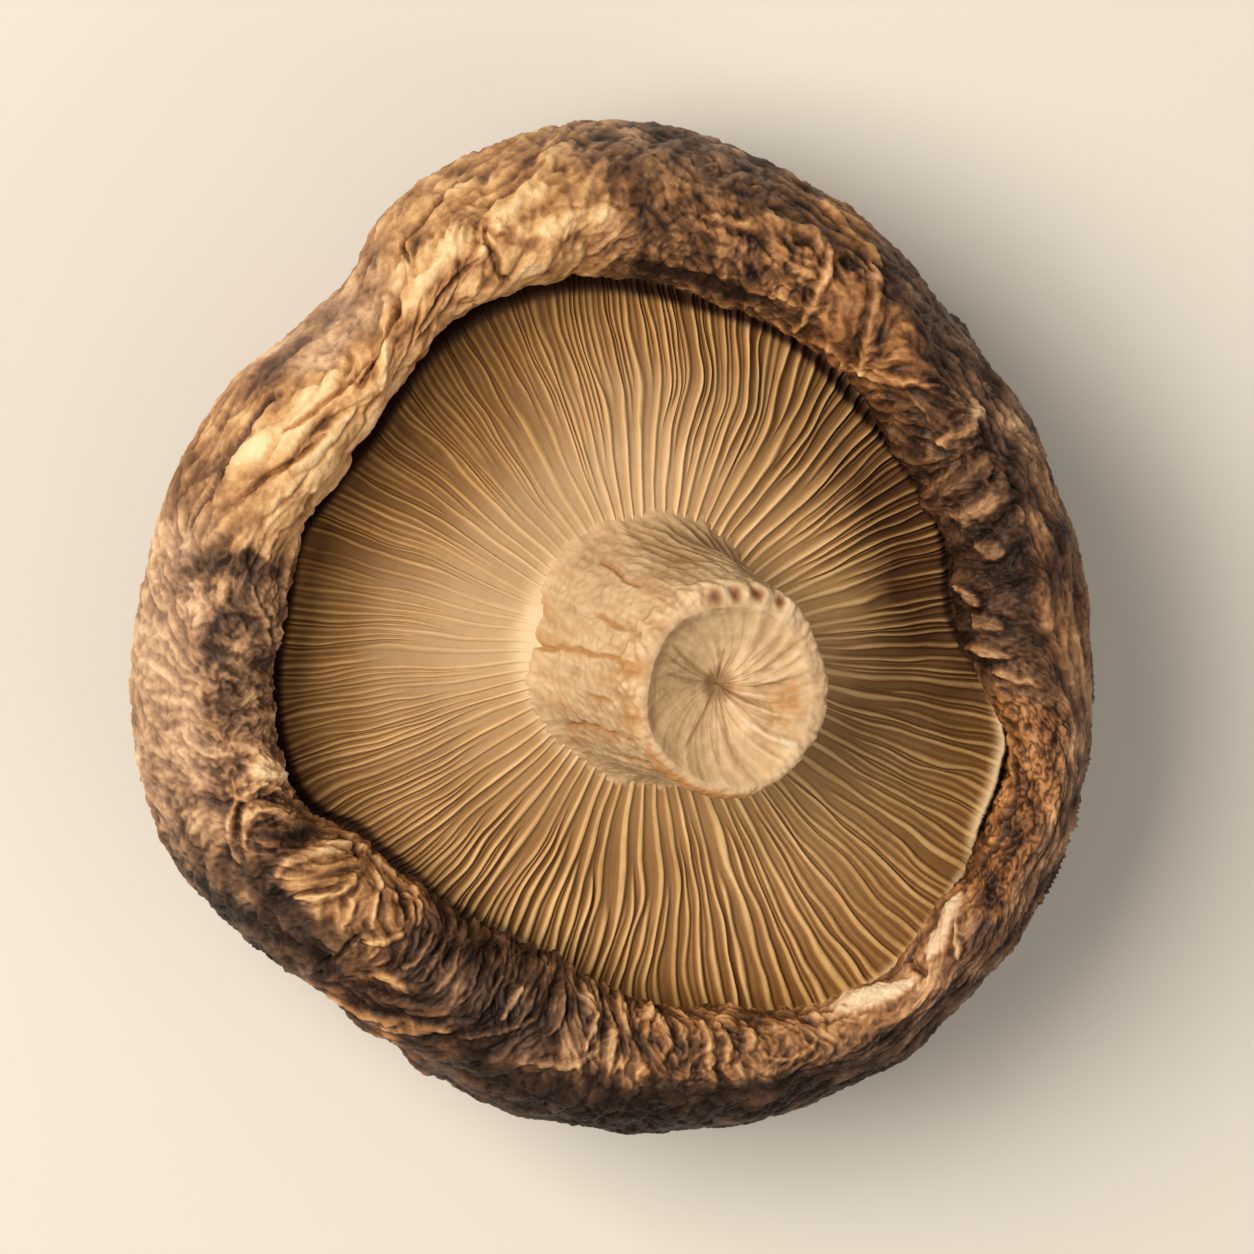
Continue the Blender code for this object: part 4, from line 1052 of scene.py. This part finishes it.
def rampNode(tree, value, stops):
    node = tree.nodes.new("ShaderNodeValToRGB")
    ramp = node.color_ramp
    while len(ramp.elements) < len(stops):
        ramp.elements.new(0.5)
    for element, (place, colour) in zip(ramp.elements, stops):
        element.position = place
        element.color = (*colour, 1.0)
    tree.links.new(value, node.inputs[0])
    return node.outputs[0]


def blendColour(tree, share, first, second, kind="MIX"):
    node = tree.nodes.new("ShaderNodeMix")
    node.data_type = "RGBA"
    node.blend_type = kind
    tree.links.new(share, node.inputs[0])
    for socket, value in ((node.inputs[6], first), (node.inputs[7], second)):
        if isinstance(value, tuple):
            socket.default_value = (*value, 1.0)
        else:
            tree.links.new(value, socket)
    return node.outputs[2]


def bumpNode(tree, shader, height, depth):
    node = tree.nodes.new("ShaderNodeBump")
    node.inputs["Strength"].default_value = 1.0
    node.inputs["Distance"].default_value = depth
    tree.links.new(height, node.inputs["Height"])
    tree.links.new(node.outputs[0], shader.inputs["Normal"])


# each list of colours goes from dark to light: place on the ramp, colour
capLook = {
    "brown": (
        (0.0, (0.013, 0.006, 0.003)), (0.2, (0.040, 0.018, 0.008)), (0.42, (0.130, 0.060, 0.023)),
        (0.62, (0.35, 0.178, 0.070)), (0.8, (0.62, 0.375, 0.165)), (1.0, (0.83, 0.620, 0.360)),
    ),
    "greyed": (
        (0.0, (0.014, 0.007, 0.005)), (0.2, (0.045, 0.024, 0.016)), (0.42, (0.140, 0.077, 0.047)),
        (0.62, (0.35, 0.210, 0.132)), (0.8, (0.59, 0.400, 0.258)), (1.0, (0.79, 0.630, 0.450)),
    ),
    "orange": (
        (0.0, (0.014, 0.006, 0.003)), (0.2, (0.045, 0.018, 0.007)), (0.42, (0.16, 0.062, 0.019)),
        (0.62, (0.40, 0.175, 0.056)), (0.8, (0.65, 0.360, 0.140)), (1.0, (0.84, 0.590, 0.320)),
    ),
    "roughness": 0.50, "bumpDepth": 0.00016,
}


def capFinish():
    material, tree, shader = nodesOf("driedCapSkin")
    mottle = noiseNode(tree, 900.0, 3.0, 0.6)
    speck = noiseNode(tree, 3200.0, 3.0, 0.6)
    detail = offset(tree, sumOf(tree, scaled(tree, mottle, 0.22), speck, 0.26), -0.24)
    tone = sumOf(tree, readMark(tree, "tone"), detail, 1.0)
    brown, greyed, orange = [rampNode(tree, tone, capLook[name]) for name in ("brown", "greyed", "orange")]
    colour = blendColour(tree, readMark(tree, "warm"), brown, orange)
    colour = blendColour(tree, readMark(tree, "grey"), colour, greyed)
    tree.links.new(colour, shader.inputs["Base Color"])
    shader.inputs["Roughness"].default_value = capLook["roughness"]
    # pale skin shines a little more than dark skin
    tree.links.new(offset(tree, scaled(tree, tone, 0.36), 0.12), shader.inputs["Specular IOR Level"])
    bumpNode(tree, shader, sumOf(tree, scaled(tree, speck, 0.6), mottle, 0.4), capLook["bumpDepth"])
    return material


gillLook = {
    "nearStem": ((0.0, (0.41, 0.245, 0.100)), (0.5, (0.60, 0.385, 0.175)), (1.0, (0.82, 0.570, 0.300))),
    "nearRim": ((0.0, (0.19, 0.082, 0.019)), (0.4, (0.37, 0.187, 0.053)), (1.0, (0.69, 0.425, 0.170))),
    "stained": ((0.0, (0.060, 0.020, 0.005)), (0.5, (0.120, 0.046, 0.013)), (1.0, (0.42, 0.240, 0.090))),
    # the first colour here is painted shade, under the lip and in the step down
    "paintedShadeUnderLip": (0.055, 0.022, 0.008), "paleEdge": (0.78, 0.58, 0.34), "besideStem": (0.72, 0.535, 0.325),
    "roughness": 0.68, "specular": 0.3, "bumpDepth": 0.00006,
}


def gillFinish():
    material, tree, shader = nodesOf("driedGills")
    grain = noiseNode(tree, 1500.0, 3.0, 0.6)
    # the tone follows the blades' height, so the valleys are darker: partly painted shade
    tone = sumOf(tree, readMark(tree, "edge"), readMark(tree, "shade"), 0.07)
    tone = offset(tree, sumOf(tree, tone, grain, 0.3), -0.15)
    near, far, stained = [rampNode(tree, tone, gillLook[name]) for name in ("nearStem", "nearRim", "stained")]
    colour = blendColour(tree, readMark(tree, "reach"), near, far)
    for mark, paint in (("brown", stained), ("paintedShadeByLip", gillLook["paintedShadeUnderLip"]), ("rimLight", gillLook["paleEdge"]),
                        ("foot", gillLook["besideStem"])):
        colour = blendColour(tree, readMark(tree, mark), colour, paint)
    tree.links.new(colour, shader.inputs["Base Color"])
    shader.inputs["Roughness"].default_value = gillLook["roughness"]
    shader.inputs["Specular IOR Level"].default_value = gillLook["specular"]
    bumpNode(tree, shader, grain, gillLook["bumpDepth"])
    return material


stemLook = {
    "cream": (
        (0.0, (0.11, 0.055, 0.022)), (0.4, (0.38, 0.235, 0.110)), (0.7, (0.66, 0.465, 0.265)),
        (1.0, (0.82, 0.680, 0.490)),
    ),
    "stain": (0.45, 0.210, 0.065), "speck": (0.13, 0.042, 0.018), "low": (0.52, 0.33, 0.155),
    "roughness": 0.7, "bumpDepth": 0.00008,
}


def stemFinish():
    material, tree, shader = nodesOf("driedStem")
    grain = noiseNode(tree, 1800.0, 4.0, 0.6)
    tone = offset(tree, sumOf(tree, readMark(tree, "tone"), grain, 0.3), -0.15)
    colour = rampNode(tree, tone, stemLook["cream"])
    for mark in ("stain", "speck", "low"):
        colour = blendColour(tree, readMark(tree, mark), colour, stemLook[mark])
    tree.links.new(colour, shader.inputs["Base Color"])
    shader.inputs["Roughness"].default_value = stemLook["roughness"]
    bumpNode(tree, shader, grain, stemLook["bumpDepth"])
    return material


def dress(piece, material, node):
    piece.data.materials.append(material)
    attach(piece, "root")
    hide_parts(node)


capSkin = capFinish()
for piece in makeCap():
    dress(piece, capSkin, "cap")
print("mushroom: cap done")
gillSkin = gillFinish()
for piece in makeGills():
    dress(piece, gillSkin, "gills")
print("mushroom: gills done")
dress(makeStem(), stemFinish(), "stem")
print("mushroom: stem done")


# floor, light and camera

studio = {
    "floorColour": (0.74, 0.71, 0.66), "floorHalf": 3.0, "worldColour": (1.0, 0.92, 0.82), "worldStrength": 0.30,
    # each light: direction, distance and size in metres, power, colour
    "keyLight": ((-0.61, 0.22, 0.76), 0.55, 0.32, 3.7, (1.0, 0.92, 0.80)),
    "fillLight": ((0.7, -0.5, 0.6), 0.7, 0.5, 1.1, (1.0, 0.94, 0.86)),
    "cameraAzimuth": 235.0, "cameraElevation": 76.0, "cameraTarget": (-0.0005, 0.0008, 0.0125),
    "lens": 300.0, "sensor": 36.0, "frameWidth": 0.062,
}


def makeFloor():
    half = studio["floorHalf"]
    mesh = bpy.data.meshes.new("floor")
    mesh.from_pydata([(-half, -half, 0), (half, -half, 0), (half, half, 0), (-half, half, 0)], [], [(0, 1, 2, 3)])
    floor = bpy.data.objects.new("floor", mesh)
    floor.location = (0.0, 0.0, -0.00005)
    bpy.context.scene.collection.objects.link(floor)
    material, tree, shader = nodesOf("paleFloor")
    grain = noiseNode(tree, 30.0, 2.0)
    darker = tuple(0.97 * c for c in studio["floorColour"])
    tree.links.new(blendColour(tree, grain, studio["floorColour"], darker), shader.inputs["Base Color"])
    shader.inputs["Roughness"].default_value = 0.85
    floor.data.materials.append(material)


def addSoftbox(name, direction, distance, size, power, colour):
    light = bpy.data.lights.new(name, "AREA")
    light.energy = power
    light.size = size
    light.color = colour
    lamp = bpy.data.objects.new(name, light)
    away = Vector(direction).normalized()
    lamp.location = away * distance
    lamp.rotation_euler = away.to_track_quat("Z", "Y").to_euler()
    bpy.context.scene.collection.objects.link(lamp)


def addWorld():
    world = bpy.data.worlds.new("paleRoom")
    world.use_nodes = True
    background = world.node_tree.nodes["Background"]
    background.inputs[0].default_value = (*studio["worldColour"], 1.0)
    background.inputs[1].default_value = studio["worldStrength"]
    bpy.context.scene.world = world
    bpy.context.scene.view_settings.view_transform = "Standard"


def addCamera():
    a = math.radians(studio["cameraAzimuth"])
    e = math.radians(studio["cameraElevation"])
    back = Vector((math.sin(a) * math.cos(e), -math.cos(a) * math.cos(e), math.sin(e)))
    up = Vector((0.0, 1.0, 0.0))
    up = (up - back * up.dot(back)).normalized()
    right = up.cross(back)
    lens = bpy.data.cameras.new("camera")
    lens.lens = studio["lens"]
    lens.sensor_width = studio["sensor"]
    lens.clip_start = 0.01
    distance = studio["frameWidth"] / studio["sensor"] * studio["lens"]
    spot = Vector(studio["cameraTarget"]) + back * distance
    camera = bpy.data.objects.new("camera", lens)
    camera.matrix_world = Matrix((
        (right.x, up.x, back.x, spot.x),
        (right.y, up.y, back.y, spot.y),
        (right.z, up.z, back.z, spot.z),
        (0.0, 0.0, 0.0, 1.0),
    ))
    bpy.context.scene.collection.objects.link(camera)
    bpy.context.scene.camera = camera


makeFloor()
for name in ("keyLight", "fillLight"):
    addSoftbox(name, *studio[name])
addWorld()
addCamera()
print("mushroom: floor, light and camera done")
